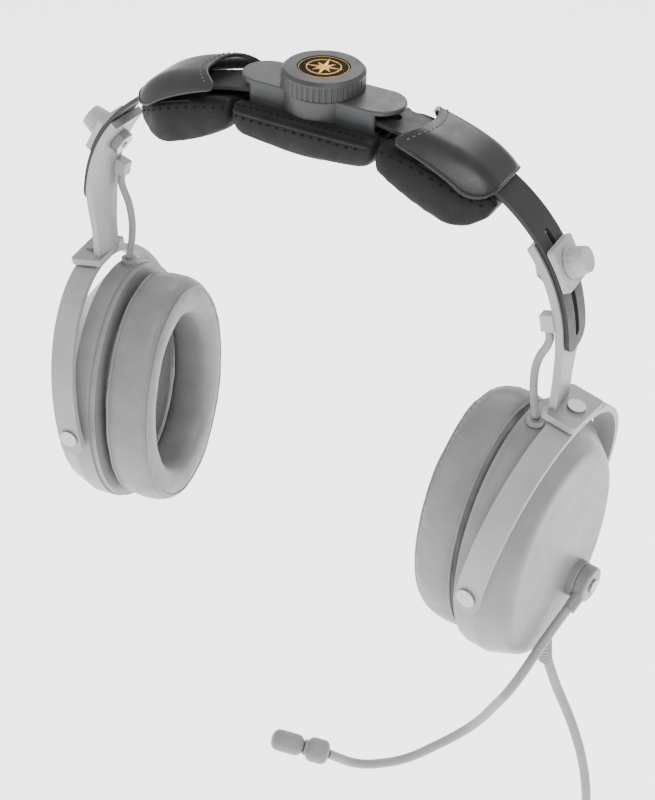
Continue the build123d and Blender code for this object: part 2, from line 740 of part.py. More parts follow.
def make_yoke(side, name):
    """U-shaped strap around the cup, its ends on the pivot axis."""
    with BuildPart() as yoke:
        with BuildSketch(yoke_plane(side, -YOKE_WIDTH / 2)):
            Ellipse(YOKE_HALF_SPAN, YOKE_TOP)
            Ellipse(YOKE_HALF_SPAN - YOKE_THICK, YOKE_TOP - YOKE_THICK, mode=Mode.SUBTRACT)
            with Locations((0, -50)):
                Rectangle(120, 100, mode=Mode.SUBTRACT)
            for front in (1, -1):
                with Locations((front * (YOKE_HALF_SPAN - YOKE_THICK / 2), -YOKE_LEG / 2 + 0.1)):
                    Rectangle(YOKE_THICK, YOKE_LEG + 0.2)
        extrude(amount=YOKE_WIDTH)
        back, up, out = frame_axes(side, YOKE_LEAN)
        low_faces = yoke.faces().sort_by(Axis(cup_point(side, 0, 0, 0), up))[0:2]
        corner_edges = ShapeList()
        for low_face in low_faces:
            corner_edges.extend(
                low_face.edges().filter_by(Axis((0, 0, 0), back))
            )
        fillet(corner_edges, radius=4.0)
        with BuildSketch(top_plane(side, YOKE_TOP - YOKE_THICK - 2)):
            Circle(2.1)
        extrude(amount=8, mode=Mode.SUBTRACT)
        with BuildSketch(Plane(origin=cup_point(side, -60, 0, 0), z_dir=back)):
            Circle(PIN_RADIUS)
        extrude(amount=120, mode=Mode.SUBTRACT)
    save(yoke, name + "_yoke")


def make_pivot_pins(side, name):
    """Front and rear pins that carry the cup."""
    back, up, out = frame_axes(side, CUP_LEAN)
    with BuildPart() as pins:
        for front in (1, -1):
            shank = Plane(origin=cup_point(side, front * 41.2, 0, 0), z_dir=back * front)
            head = Plane(origin=cup_point(side, front * YOKE_HALF_SPAN, 0, 0), z_dir=back * front)
            with BuildSketch(shank):
                Circle(PIN_RADIUS)
            extrude(amount=YOKE_HALF_SPAN - 41.2 + 0.5)
            with BuildSketch(head):
                Circle(3.8)
            extrude(amount=1.1)
    save(pins, name + "_pivot_pins")


def make_dome(side, name):
    """Hollow outer shell of one ear cup."""
    back, up, out = frame_axes(side, CUP_LEAN)
    with BuildPart() as dome:
        with BuildSketch(cup_plane(side, SEAM_W)):
            with Locations((0, -CUP_DROP)):
                Ellipse(CUP_HALF_WIDTH, CUP_HALF_HEIGHT)
        extrude(amount=SHOULDER_W - SEAM_W)
        with BuildSketch(cup_plane(side, SHOULDER_W)):
            with Locations((0, -CUP_DROP)):
                Ellipse(CUP_HALF_WIDTH, CUP_HALF_HEIGHT)
        with BuildSketch(cup_plane(side, FACE_W)):
            with Locations((0, -FACE_DROP)):
                Ellipse(FACE_HALF_WIDTH, FACE_HALF_HEIGHT)
        loft()
        face_rim = dome.faces().sort_by(Axis(cup_point(side, 0, 0, 0), out))[-1].edges()
        fillet(face_rim, radius=5.0)
        with BuildSketch(cup_plane(side, SEAM_W)):
            with Locations((0, -CUP_DROP)):
                Ellipse(CUP_HALF_WIDTH - CUP_WALL, CUP_HALF_HEIGHT - CUP_WALL)
        extrude(amount=SHOULDER_W - SEAM_W, mode=Mode.SUBTRACT)
        with BuildSketch(cup_plane(side, SHOULDER_W)):
            with Locations((0, -CUP_DROP)):
                Ellipse(CUP_HALF_WIDTH - CUP_WALL, CUP_HALF_HEIGHT - CUP_WALL)
        with BuildSketch(cup_plane(side, FACE_W - CUP_WALL)):
            with Locations((0, -FACE_DROP)):
                Ellipse(FACE_HALF_WIDTH - 4.0, FACE_HALF_HEIGHT - 4.0)
        loft(mode=Mode.SUBTRACT)
        with BuildSketch(Plane(origin=cup_point(side, -60, 0, 0), z_dir=back)):
            Circle(PIN_RADIUS + 0.2)
        extrude(amount=120, mode=Mode.SUBTRACT)
        with BuildSketch(Plane(origin=cup_point(side, side * GROMMET_BACK, 40, GROMMET_OUT), z_dir=up)):
            Circle(2.0)
        extrude(amount=30, mode=Mode.SUBTRACT)
        if side > 0:
            with BuildSketch(cup_plane(side, 6)):
                with Locations((BOSS_F, BOSS_UP)):
                    Circle(1.6)
            extrude(amount=12, mode=Mode.SUBTRACT)
            with BuildSketch(Plane(origin=relief_start(0), z_dir=relief_start(1) - relief_start(0))):
                Circle(3.2)
            extrude(amount=16, mode=Mode.SUBTRACT)
    save(dome, name + "_dome")


def make_baffle(side, name):
    """Plate that closes the shell behind the ear seal."""
    with BuildPart() as baffle:
        with BuildSketch(cup_plane(side, SEAM_W - BAFFLE_THICK)):
            with Locations((0, -CUP_DROP)):
                Ellipse(CUP_HALF_WIDTH - 0.8, CUP_HALF_HEIGHT - 0.8)
            Circle(15.0, mode=Mode.SUBTRACT)
        extrude(amount=BAFFLE_THICK)
    save(baffle, name + "_baffle")


def make_ear_seal(side, name):
    """Soft ring that rests around the ear."""
    back, up, out = frame_axes(side, CUP_LEAN)
    with BuildPart() as seal:
        with BuildSketch(cup_plane(side, SEAM_W - BAFFLE_THICK - SEAL_DEPTH)):
            with Locations((0, -CUP_DROP)):
                Ellipse(SEAL_HALF_WIDTH, SEAL_HALF_HEIGHT)
                Ellipse(EAR_HALF_WIDTH, EAR_HALF_HEIGHT, mode=Mode.SUBTRACT)
        extrude(amount=SEAL_DEPTH)
        inner_face = seal.faces().sort_by(Axis(cup_point(side, 0, 0, 0), out))[0]
        fillet(inner_face.edges(), radius=6.0)
    save(seal, name + "_ear_seal")


def make_speaker(side, name):
    """Driver fixed to the back of the baffle."""
    with BuildPart() as speaker:
        with BuildSketch(cup_plane(side, SEAM_W)):
            Circle(19.0)
        extrude(amount=5.0)
        with BuildSketch(cup_plane(side, SEAM_W + 5.0)):
            Circle(11.0)
        extrude(amount=5.0)
    save(speaker, name + "_speaker")


def make_ear_foam(side, name):
    """Thin foam over the speaker opening."""
    with BuildPart() as foam:
        with BuildSketch(cup_plane(side, SEAM_W - BAFFLE_THICK - 2.5)):
            with Locations((0, -CUP_DROP)):
                Ellipse(EAR_HALF_WIDTH - 0.5, EAR_HALF_HEIGHT - 0.5)
        extrude(amount=2.5)
    save(foam, name + "_ear_foam")


for side_name, sign in SIDES.items():
    make_side_pad(sign, side_name)
    make_sleeve(sign, side_name)
    make_arm(sign, side_name)
    make_clamp_block(sign, side_name)
    make_clamp_nut(sign, side_name)
    make_thumb_screw(sign, side_name)
    make_swivel_rivet(sign, side_name)
    make_yoke(sign, side_name)
    make_pivot_pins(sign, side_name)
    make_dome(sign, side_name)
    make_baffle(sign, side_name)
    make_ear_seal(sign, side_name)
    make_speaker(sign, side_name)
    make_ear_foam(sign, side_name)


def make_grommet(side, name):
    """Rubber grommet where the lead leaves the shell."""
    back, up, out = frame_axes(side, CUP_LEAN)
    low = cup_point(side, side * GROMMET_BACK, GROMMET_LOW, GROMMET_OUT)
    with BuildPart() as grommet:
        with BuildSketch(Plane(origin=low, z_dir=up)):
            Circle(1.95)
        extrude(amount=5.6)
        with BuildSketch(Plane(origin=low + up * 3.4, z_dir=up)):
            Circle(3.2)
        extrude(amount=2.2)
    save(grommet, name + "_grommet")


def make_lead(side, name):
    """Thin lead from the cup's grommet into the clip under the arm."""
    back, up, out = frame_axes(side, CUP_LEAN)
    low = cup_point(side, side * GROMMET_BACK, GROMMET_LOW + 5.6, GROMMET_OUT)
    points = [
        low,
        low + up * 11,
        Vector(side * 94.2, side * -7.6, 80.0),
        lead_point(side, LEAD_ARC + 0.2, 84),
        lead_point(side, LEAD_ARC - 0.2, 79.5),
        lead_point(side, LEAD_ARC - 0.35, LEAD_END),
    ]
    cord = tube(points, LEAD_RADIUS, name + " lead")
    save(cord, name + "_lead")


def make_clip(side, name):
    """Boss under the arm that the lead ends in, closed at its upper end."""
    with BuildPart() as clip:
        with BuildSketch(Plane.XZ.offset(-side * LEAD_Y - 2.2)):
            ring_sector(side, SIDE_CENTRE, LEAD_ARC - 2.4, ARM_OUTER - ARM_THICK,
                        CLIP_ANGLE - 3, CLIP_ANGLE + 3)
        extrude(amount=4.4)
        with BuildLine() as bore:
            ThreePointArc(
                *[lead_point(side, LEAD_ARC - 0.35, CLIP_ANGLE + step) for step in (8, 4, -1.5)]
            )
        with BuildSketch(Plane(origin=bore.line @ 0, z_dir=bore.line % 0)):
            Circle(LEAD_RADIUS + 0.35)
        sweep(path=bore.wires()[0], mode=Mode.SUBTRACT)
    save(clip, name + "_lead_clip")


for side_name, sign in SIDES.items():
    make_grommet(sign, side_name)
    make_lead(sign, side_name)
    make_clip(sign, side_name)

BOOM_OUT = FACE_W + BOSS_HEIGHT + 0.3 + 2.3

# Boss on the left shell for the boom
with BuildPart() as boom_base:
    with BuildSketch(cup_plane(1, FACE_W)):
        with Locations((BOSS_F, BOSS_UP)):
            Circle(BOSS_RADIUS)
            Circle(1.65, mode=Mode.SUBTRACT)
    extrude(amount=BOSS_HEIGHT)
    fillet(boom_base.edges().filter_by(GeomType.CIRCLE).sort_by(SortBy.RADIUS)[-1], radius=0.6)
save(boom_base, "boom_base")

# Turning boom holder with a socket for the tube
boom_start = cup_point(1, BOSS_F, BOSS_UP, BOOM_OUT)
boom_route = [
    cup_point(1, BOSS_F - 4.0, BOSS_UP - 1.8, BOOM_OUT - 0.4),
    cup_point(1, -10, -42, BOOM_OUT - 2.2),
    cup_point(1, -33, -50.5, BOOM_OUT - 2.1),
    cup_point(1, -32, -88, 1),
    cup_point(1, -50, -107, -19),
    cup_point(1, -66, -104, -31),
    Vector(47.9, -68.4, -96.0),
]
boom_run = (boom_route[1] - boom_route[0]).normalized()
with BuildPart() as boom_pivot:
    with BuildSketch(cup_plane(1, FACE_W + BOSS_HEIGHT + 0.3)):
        with Locations((BOSS_F, BOSS_UP)):
            Circle(BOSS_RADIUS - 0.3)
    extrude(amount=PIVOT_HEIGHT)
    pivot_rims = boom_pivot.edges().filter_by(GeomType.CIRCLE)
    fillet(pivot_rims.sort_by(Axis(boom_start, cup_plane(1, 0).z_dir))[-1], radius=1.2)
    with BuildSketch(Plane(origin=boom_route[0], z_dir=boom_run)):
        Circle(3.0)
    extrude(amount=9.0)
    with BuildSketch(cup_plane(1, FACE_W)):
        with Locations((BOSS_F, BOSS_UP)):
            Rectangle(40, 40)
    extrude(amount=BOSS_HEIGHT + 0.3, mode=Mode.SUBTRACT)
    with BuildSketch(cup_plane(1, FACE_W)):
        with Locations((BOSS_F, BOSS_UP)):
            Circle(1.65)
    extrude(amount=12, mode=Mode.SUBTRACT)
    with BuildSketch(Plane(origin=boom_route[0] + boom_run * 2, z_dir=boom_run)):
        Circle(BOOM_RADIUS)
    extrude(amount=12, mode=Mode.SUBTRACT)
save(boom_pivot, "boom_pivot")

# Screw through the boom holder into the shell
with BuildPart() as boom_screw:
    with BuildSketch(cup_plane(1, FACE_W - CUP_WALL - 1)):
        with Locations((BOSS_F, BOSS_UP)):
            Circle(1.55)
    extrude(amount=CUP_WALL + 1 + BOSS_HEIGHT + 0.3 + PIVOT_HEIGHT + 0.2)
    with BuildSketch(cup_plane(1, FACE_W + BOSS_HEIGHT + 0.3 + PIVOT_HEIGHT + 0.1)):
        with Locations((BOSS_F, BOSS_UP)):
            Circle(3.0)
    extrude(amount=0.8)
    with BuildSketch(cup_plane(1, FACE_W - CUP_WALL - 1)):
        with Locations((BOSS_F, BOSS_UP)):
            Circle(2.6)
    extrude(amount=1.0)
save(boom_screw, "boom_screw")

# Bent boom tube, its start inside the holder's socket
boom_points = [boom_route[0] + boom_run * 2] + boom_route[1:]
boom_tube = tube(boom_points, BOOM_RADIUS, "boom")
save(boom_tube, "boom_tube")

# Microphone: rear collar, neck and round-ended capsule
mic_run = Vector(-21.3, -8.9, 6.1).normalized()
mic_start = boom_route[-1]
with BuildPart() as mic_collar:
    with BuildSketch(Plane(origin=mic_start, z_dir=mic_run)):
        Circle(5.0)
    extrude(amount=9.0)
    fillet(mic_collar.edges().filter_by(GeomType.CIRCLE), radius=2.5)
    with BuildSketch(Plane(origin=mic_start + mic_run * 8, z_dir=mic_run)):
        Circle(3.2)
    extrude(amount=2.4)
save(mic_collar, "mic_collar")

with BuildPart() as mic_capsule:
    with BuildSketch(Plane(origin=mic_start + mic_run * 10.4, z_dir=mic_run)):
        Circle(4.35)
    extrude(amount=13.6)
    fillet(mic_capsule.edges().filter_by(GeomType.CIRCLE), radius=3.4)
save(mic_capsule, "mic_capsule")

# Tapered strain relief below the left shell
with BuildPart() as strain_relief:
    with BuildSketch(Plane(origin=relief_start(0), z_dir=Vector(*RELIEF_DIR))):
        Circle(3.1)
    extrude(amount=9.0)
    with BuildSketch(Plane(origin=relief_start(9.0), z_dir=Vector(*RELIEF_DIR))):
        Circle(4.3)
    with BuildSketch(Plane(origin=relief_start(RELIEF_LENGTH), z_dir=Vector(*RELIEF_DIR))):
        Circle(2.9)
    loft()
    with BuildSketch(Plane(origin=relief_start(-1), z_dir=Vector(*RELIEF_DIR))):
        Circle(CABLE_RADIUS)
    extrude(amount=RELIEF_LENGTH + 3, mode=Mode.SUBTRACT)
save(strain_relief, "strain_relief")

# Main cable from inside the relief down to its coil, its end just inside the coil
cable_points = [
    relief_start(1.0),
    relief_start(RELIEF_LENGTH + 4),
    Vector(123.5, 29.0, -136.0),
    Vector(132.0, 38.5, -180.0),
    Vector(135.0, 43.0, -222.0),
    Vector(135.0, 43.5, -259.5),
]
main_cable = tube(cable_points, CABLE_RADIUS, "main cable")
save(main_cable, "main_cable")


def coil_ring(radius, start, arc, mode=Mode.ADD):
    """Round section swept about the coil's axis, its start angle measured from the top."""
    turn = math.radians(start)
    spot = Vector(*COIL_CENTRE) + Vector(0, math.sin(turn), math.cos(turn)) * COIL_RADIUS
    across = Plane(origin=spot, x_dir=(1, 0, 0), z_dir=(0, math.cos(turn), -math.sin(turn)))
    with BuildSketch(across) as section:
        Circle(radius)
    revolve(section.sketch, axis=Axis(COIL_CENTRE, (-1, 0, 0)), revolution_arc=arc, mode=mode)


# Coil of the spare cable with a straight tail down to the plug
tail_top = Vector(*COIL_CENTRE) + Vector(TAIL_SIDE, TAIL_OUT, 2.0)
with BuildPart() as cable_coil:
    coil_ring(COIL_SECTION, 0, 360)
    with BuildSketch(Plane(origin=tail_top, z_dir=(0, 0, -1))):
        Circle(CABLE_RADIUS)
    extrude(amount=TAIL_LENGTH)
save(cable_coil, "cable_coil")

# Strap around the coil beside the point where the cable joins it
with BuildPart() as cable_tie:
    coil_ring(TIE_SECTION, -TIE_ARC / 2, TIE_ARC)
    coil_ring(COIL_SECTION, 0, 360, Mode.SUBTRACT)
save(cable_tie, "cable_tie")

plug_top = tail_top - Vector(0, 0, TAIL_LENGTH)
with BuildPart() as plug_body:
    with BuildSketch(Plane.XY.offset(plug_top.Z)):
        with Locations((plug_top.X, plug_top.Y)):
            Circle(3.2)
    with BuildSketch(Plane.XY.offset(plug_top.Z - 10.0)):
        with Locations((plug_top.X, plug_top.Y)):
            Circle(5.8)
    loft()
    with BuildSketch(Plane.XY.offset(plug_top.Z - 38.0)):
        with Locations((plug_top.X, plug_top.Y)):
            Circle(5.8)
    extrude(amount=28.0)
save(plug_body, "plug_body")

with BuildPart() as plug_pin:
    with BuildSketch(Plane.XY.offset(plug_top.Z - 38.0 - PLUG_PIN_LENGTH)):
        with Locations((plug_top.X, plug_top.Y)):
            Circle(PLUG_PIN_RADIUS)
    extrude(amount=PLUG_PIN_LENGTH)
    with BuildSketch(Plane.XY.offset(plug_top.Z - 38.0 - PLUG_PIN_LENGTH)):
        with Locations((plug_top.X, plug_top.Y)):
            Circle(PLUG_PIN_RADIUS)
    with BuildSketch(Plane.XY.offset(plug_top.Z - 42.0 - PLUG_PIN_LENGTH)):
        with Locations((plug_top.X, plug_top.Y)):
            Circle(1.6)
    loft()
save(plug_pin, "plug_pin")
print("coil centre", COIL_CENTRE, "plug top", plug_top)
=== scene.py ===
import json
import math

import bmesh
import bpy
from mathutils import Matrix, Vector
from mathutils.bvhtree import BVHTree


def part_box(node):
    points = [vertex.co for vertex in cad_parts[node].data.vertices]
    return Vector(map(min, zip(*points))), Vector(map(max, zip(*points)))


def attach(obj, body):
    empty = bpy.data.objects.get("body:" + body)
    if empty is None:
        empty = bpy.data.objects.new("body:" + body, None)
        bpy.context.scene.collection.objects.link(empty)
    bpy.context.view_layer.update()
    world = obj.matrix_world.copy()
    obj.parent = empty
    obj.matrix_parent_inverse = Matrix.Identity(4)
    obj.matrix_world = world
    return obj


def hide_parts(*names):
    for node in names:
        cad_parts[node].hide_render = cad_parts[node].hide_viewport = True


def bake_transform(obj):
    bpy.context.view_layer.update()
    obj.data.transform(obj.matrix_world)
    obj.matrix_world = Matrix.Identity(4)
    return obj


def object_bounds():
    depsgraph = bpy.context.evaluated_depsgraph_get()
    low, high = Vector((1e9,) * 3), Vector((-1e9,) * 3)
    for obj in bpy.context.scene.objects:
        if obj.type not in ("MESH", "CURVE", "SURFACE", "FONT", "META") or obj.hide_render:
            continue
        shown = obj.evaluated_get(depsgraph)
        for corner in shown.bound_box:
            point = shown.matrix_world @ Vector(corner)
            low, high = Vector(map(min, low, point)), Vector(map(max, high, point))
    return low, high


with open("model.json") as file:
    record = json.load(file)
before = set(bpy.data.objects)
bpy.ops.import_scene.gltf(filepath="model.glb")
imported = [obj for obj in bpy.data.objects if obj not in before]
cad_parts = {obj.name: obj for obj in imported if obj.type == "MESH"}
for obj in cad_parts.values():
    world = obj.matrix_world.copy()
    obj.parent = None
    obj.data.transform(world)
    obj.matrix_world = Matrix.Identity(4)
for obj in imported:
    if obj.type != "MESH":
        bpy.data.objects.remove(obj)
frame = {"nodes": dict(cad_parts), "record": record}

CAD_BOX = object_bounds()
MM = 0.001

# Driving dimensions in millimetres, the same as the part's own
CROWN_RADIUS = 180.0
CROWN_CENTRE_Z = -25.0
SIDE_RADIUS = 66.0
SIDE_START = math.radians(18.8)
BEND_ARC = CROWN_RADIUS * SIDE_START
SIDE_CENTRE = (
    (CROWN_RADIUS - SIDE_RADIUS) * math.sin(SIDE_START),
    CROWN_CENTRE_Z + (CROWN_RADIUS - SIDE_RADIUS) * math.cos(SIDE_START),
)
CUP_CENTRE = Vector((98.0, 2.0, -4.0))
CUP_YAW = math.radians(8.5)
SIDES = {"left": 1, "right": -1}

# The leads' upper ends are off the arm's middle by this much, to opposite sides left and right
LEAD_Y = -7.5

# Camera: place in metres, then azimuth, elevation and roll in degrees
CAMERA_PLACE = (0.2162475, -0.3966859, 0.3625101)
CAMERA_TURN = (27.946, 37.013, 1.95)
CAMERA_LENS = 63.0
CAMERA_SENSOR = 36.0

FLOOR_GAP = 0.004
FLOOR_REACH = 6.0
FLOOR_TONE = 0.93
FLOOR_GLOW = 2.4

# Each lamp's name, place in metres, disc size in metres and power in watts
LAMPS = (
    ("key", (0.75, -0.55, 1.25), 0.7, 14.0),
    ("fill", (-1.1, -0.8, 0.7), 1.0, 7.0),
    ("rim", (-0.3, 1.2, 0.9), 0.8, 9.0),
)
LAMP_TARGET = Vector((0.0, 0.0, 0.02))
SKY_STRENGTH = 0.85


# ---------------------------------------------------------------- places

def arch_point(side, arc, lift, y=0.0):
    """Point at an arc length from the crown's middle, lifted off the strip's centre line."""
    if arc < BEND_ARC:
        angle = arc / CROWN_RADIUS
        centre, radius = (0.0, CROWN_CENTRE_Z), CROWN_RADIUS
    else:
        angle = SIDE_START + (arc - BEND_ARC) / SIDE_RADIUS
        centre, radius = SIDE_CENTRE, SIDE_RADIUS
    x = centre[0] + (radius + lift) * math.sin(angle)
    z = centre[1] + (radius + lift) * math.cos(angle)
    return Vector((side * x, y, z)) * MM


def flank_arc(degrees):
    """Arc length of a place given by its angle on the side arc."""
    return BEND_ARC + SIDE_RADIUS * (math.radians(degrees) - SIDE_START)


def cup_axes(side):
    """Directions of a cup: to its back, up, and out of the head."""
    back = Vector((side * math.sin(CUP_YAW), math.cos(CUP_YAW), 0.0))
    out = Vector((side * math.cos(CUP_YAW), -math.sin(CUP_YAW), 0.0))
    return back, Vector((0.0, 0.0, 1.0)), out


def cup_point(side, back_mm, up_mm, out_mm):
    """Place given along a cup's own directions from its centre."""
    back, up, out = cup_axes(side)
    centre = Vector((side * CUP_CENTRE.x, CUP_CENTRE.y, CUP_CENTRE.z))
    return (centre + back * back_mm + up * up_mm + out * out_mm) * MM


def lead_point(side, radius, degrees):
    """Place of a lead round the side arc's centre."""
    turn = math.radians(degrees)
    x = SIDE_CENTRE[0] + radius * math.sin(turn)
    z = SIDE_CENTRE[1] + radius * math.cos(turn)
    return Vector((side * x, side * LEAD_Y, z)) * MM


# ---------------------------------------------------------------- camera, floor and light

def make_camera():
    azimuth, elevation, roll = (math.radians(a) for a in CAMERA_TURN)
    behind = Vector((
        math.sin(azimuth) * math.cos(elevation),
        -math.cos(azimuth) * math.cos(elevation),
        math.sin(elevation),
    ))
    level = Vector((math.cos(azimuth), math.sin(azimuth), 0.0))
    top = behind.cross(level)
    right = level * math.cos(roll) + top * math.sin(roll)
    upward = behind.cross(right)
    data = bpy.data.cameras.new("camera")
    data.lens = CAMERA_LENS
    data.sensor_width = CAMERA_SENSOR
    data.sensor_fit = "AUTO"
    data.clip_end = 50.0
    camera = bpy.data.objects.new("camera", data)
    bpy.context.scene.collection.objects.link(camera)
    turn = Matrix((right, upward, behind)).transposed().to_4x4()
    camera.matrix_world = Matrix.Translation(CAMERA_PLACE) @ turn
    bpy.context.scene.camera = camera


def make_floor():
    low = CAD_BOX[0][2] - FLOOR_GAP
    corners = [(x * FLOOR_REACH, y * FLOOR_REACH, low) for x, y in ((-1, -1), (1, -1), (1, 1), (-1, 1))]
    mesh = bpy.data.meshes.new("floor")
    mesh.from_pydata(corners, [], [(0, 1, 2, 3)])
    floor = bpy.data.objects.new("floor", mesh)
    bpy.context.scene.collection.objects.link(floor)
    paint = bpy.data.materials.new("floor_paint")
    paint.use_nodes = True
    shader = paint.node_tree.nodes["Principled BSDF"]
    shader.inputs["Base Color"].default_value = (FLOOR_TONE, FLOOR_TONE, FLOOR_TONE, 1.0)
    shader.inputs["Roughness"].default_value = 0.9
    shader.inputs["Emission Color"].default_value = (1.0, 1.0, 1.0, 1.0)
    shader.inputs["Emission Strength"].default_value = FLOOR_GLOW
    floor.data.materials.append(paint)


def disc_lamp(name, place, size, power):
    """Round area lamp aimed at the lamps' common target."""
    data = bpy.data.lights.new(name, "AREA")
    data.shape = "DISK"
    data.size = size
    data.energy = power
    lamp = bpy.data.objects.new(name, data)
    bpy.context.scene.collection.objects.link(lamp)
    aim = (LAMP_TARGET - Vector(place)).to_track_quat("-Z", "Y")
    lamp.matrix_world = Matrix.Translation(place) @ aim.to_matrix().to_4x4()


def make_lights():
    world = bpy.data.worlds.new("studio")
    bpy.context.scene.world = world
    world.use_nodes = True
    world.node_tree.nodes["Background"].inputs["Color"].default_value = (1.0, 1.0, 1.0, 1.0)
    world.node_tree.nodes["Background"].inputs["Strength"].default_value = SKY_STRENGTH
    for lamp in LAMPS:
        disc_lamp(*lamp)


# ---------------------------------------------------------------- materials

class Shader:
    """A Principled material built up from procedural layers in a piece's own coordinates."""

    def __init__(self, name, metallic=0.0, specular=0.5, coat=0.0, coat_roughness=0.1, sheen=0.0):
        self.material = bpy.data.materials.new(name)
        self.material.use_nodes = True
        self.tree = self.material.node_tree
        self.shader = self.tree.nodes["Principled BSDF"]
        self.shader.inputs["Metallic"].default_value = metallic
        self.shader.inputs["Specular IOR Level"].default_value = specular
        self.shader.inputs["Coat Weight"].default_value = coat
        self.shader.inputs["Coat Roughness"].default_value = coat_roughness
        self.shader.inputs["Sheen Weight"].default_value = sheen
        self.place = self.tree.nodes.new("ShaderNodeTexCoord").outputs["Object"]
        self.normal = None

    def link(self, source, target):
        self.tree.links.new(source, target)

    def stretched(self, scale):
        """The coordinates scaled along each axis."""
        mapping = self.tree.nodes.new("ShaderNodeMapping")
        mapping.inputs["Scale"].default_value = scale
        self.link(self.place, mapping.inputs["Vector"])
        return mapping.outputs["Vector"]

    def noise(self, scale, detail=4.0, rough=0.55, stretch=None):
        node = self.tree.nodes.new("ShaderNodeTexNoise")
        node.inputs["Scale"].default_value = scale
        node.inputs["Detail"].default_value = detail
        node.inputs["Roughness"].default_value = rough
        self.link(self.stretched(stretch) if stretch else self.place, node.inputs["Vector"])
        return node.outputs["Fac"]

    def cells(self, scale):
        node = self.tree.nodes.new("ShaderNodeTexVoronoi")
        node.inputs["Scale"].default_value = scale
        self.link(self.place, node.inputs["Vector"])
        return node.outputs["Distance"]

    def span(self, source, low, high):
        """A layer's middle range spread over the values from low to high."""
        node = self.tree.nodes.new("ShaderNodeMapRange")
        node.inputs["From Min"].default_value = 0.35
        node.inputs["From Max"].default_value = 0.65
        node.inputs["To Min"].default_value = low
        node.inputs["To Max"].default_value = high
        self.link(source, node.inputs["Value"])
        return node.outputs["Result"]

    def colour(self, source, dark, light, start=0.3, end=0.7):
        """Base colour running from dark to light over the layer's values from start to end."""
        ramp = self.tree.nodes.new("ShaderNodeValToRGB")
        for element, position, shade in zip(ramp.color_ramp.elements, (start, end), (dark, light)):
            element.position = position
            element.color = (*shade, 1.0)
        self.link(source, ramp.inputs["Fac"])
        self.link(ramp.outputs["Color"], self.shader.inputs["Base Color"])

    def roughness(self, source, low, high):
        self.link(self.span(source, low, high), self.shader.inputs["Roughness"])

    def bump(self, source, depth_mm, strength=1.0):
        node = self.tree.nodes.new("ShaderNodeBump")
        node.inputs["Strength"].default_value = strength
        node.inputs["Distance"].default_value = depth_mm * MM
        self.link(source, node.inputs["Height"])
        if self.normal:
            self.link(self.normal, node.inputs["Normal"])
        self.normal = node.outputs["Normal"]
        self.link(self.normal, self.shader.inputs["Normal"])


def grey(value, warm=0.0):
    """Grey tone, with its red raised and its blue lowered by the share warm."""
    return (value * (1 + warm), value, value * (1 - warm))


def moulded(name, dark, light, rough=(0.42, 0.58), grain=0.03, coat=0.0, warm=0.0, specular=0.4):
    """Moulded plastic or painted metal: cloudy tone, uneven gloss, fine grain and soft waves."""
    look = Shader(name, specular=specular, coat=coat, coat_roughness=0.25)
    look.colour(look.noise(55.0, detail=5.0), grey(dark, warm), grey(light, warm))
    look.roughness(look.noise(140.0, detail=6.0, rough=0.7), *rough)
    look.bump(look.noise(2600.0, detail=2.0), grain)
    look.bump(look.noise(90.0, detail=2.0), grain * 1.2, strength=0.4)
    return look.material


def leather(name, dark, light, pebble, rough=(0.4, 0.6), specular=0.45, grain=0.09):
    """Grained leather: pebbled cells, pores and soft creases."""
    look = Shader(name, specular=specular, sheen=0.03)
    look.colour(look.noise(70.0, detail=6.0, rough=0.6), grey(dark), grey(light), start=0.28, end=0.72)
    look.roughness(look.noise(190.0, detail=5.0), *rough)
    look.bump(look.cells(pebble), grain, strength=0.7)
    look.bump(look.noise(pebble * 2.2, detail=3.0), grain * 0.3, strength=0.6)
    look.bump(look.noise(60.0, rough=0.6, stretch=(0.5, 1.0, 1.6)), grain * 2.5, strength=0.5)
    return look.material


def brushed(name, dark, light, rough=(0.28, 0.42), stretch=(1.0, 22.0, 1.0), metallic=1.0, warm=0.0):
    """Metal with fine lines, close together along the axis that stretch makes largest."""
    look = Shader(name, metallic=metallic)
    lines = look.noise(240.0, rough=0.6, stretch=stretch)
    look.colour(lines, grey(dark, warm), grey(light, warm))
    look.roughness(lines, *rough)
    look.bump(lines, depth_mm=0.012, strength=0.6)
    return look.material


def foam_material(name, dark, light):
    """Open foam: pores darkened with painted shade in their hollows, and a dull surface."""
    look = Shader(name, specular=0.2, sheen=0.2)
    # Painted shade: the same cells that sink the pores below make them darker in colour.
    look.colour(look.cells(1400.0), grey(dark), grey(light), start=0.1, end=0.6)
    look.roughness(look.noise(300.0), 0.85, 0.95)
    look.bump(look.cells(1400.0), depth_mm=0.25, strength=0.9)
    return look.material


def thread(name, dark, light):
    """Sewing thread: fine strands, almost without shine."""
    look = Shader(name, specular=0.08)
    strands = look.noise(3200.0, detail=3.0, rough=0.6, stretch=(1.0, 0.3, 1.0))
    look.colour(strands, grey(dark, warm=0.02), grey(light, warm=0.02))
    look.roughness(strands, 0.55, 0.75)
    look.bump(strands, depth_mm=0.05)
    return look.material


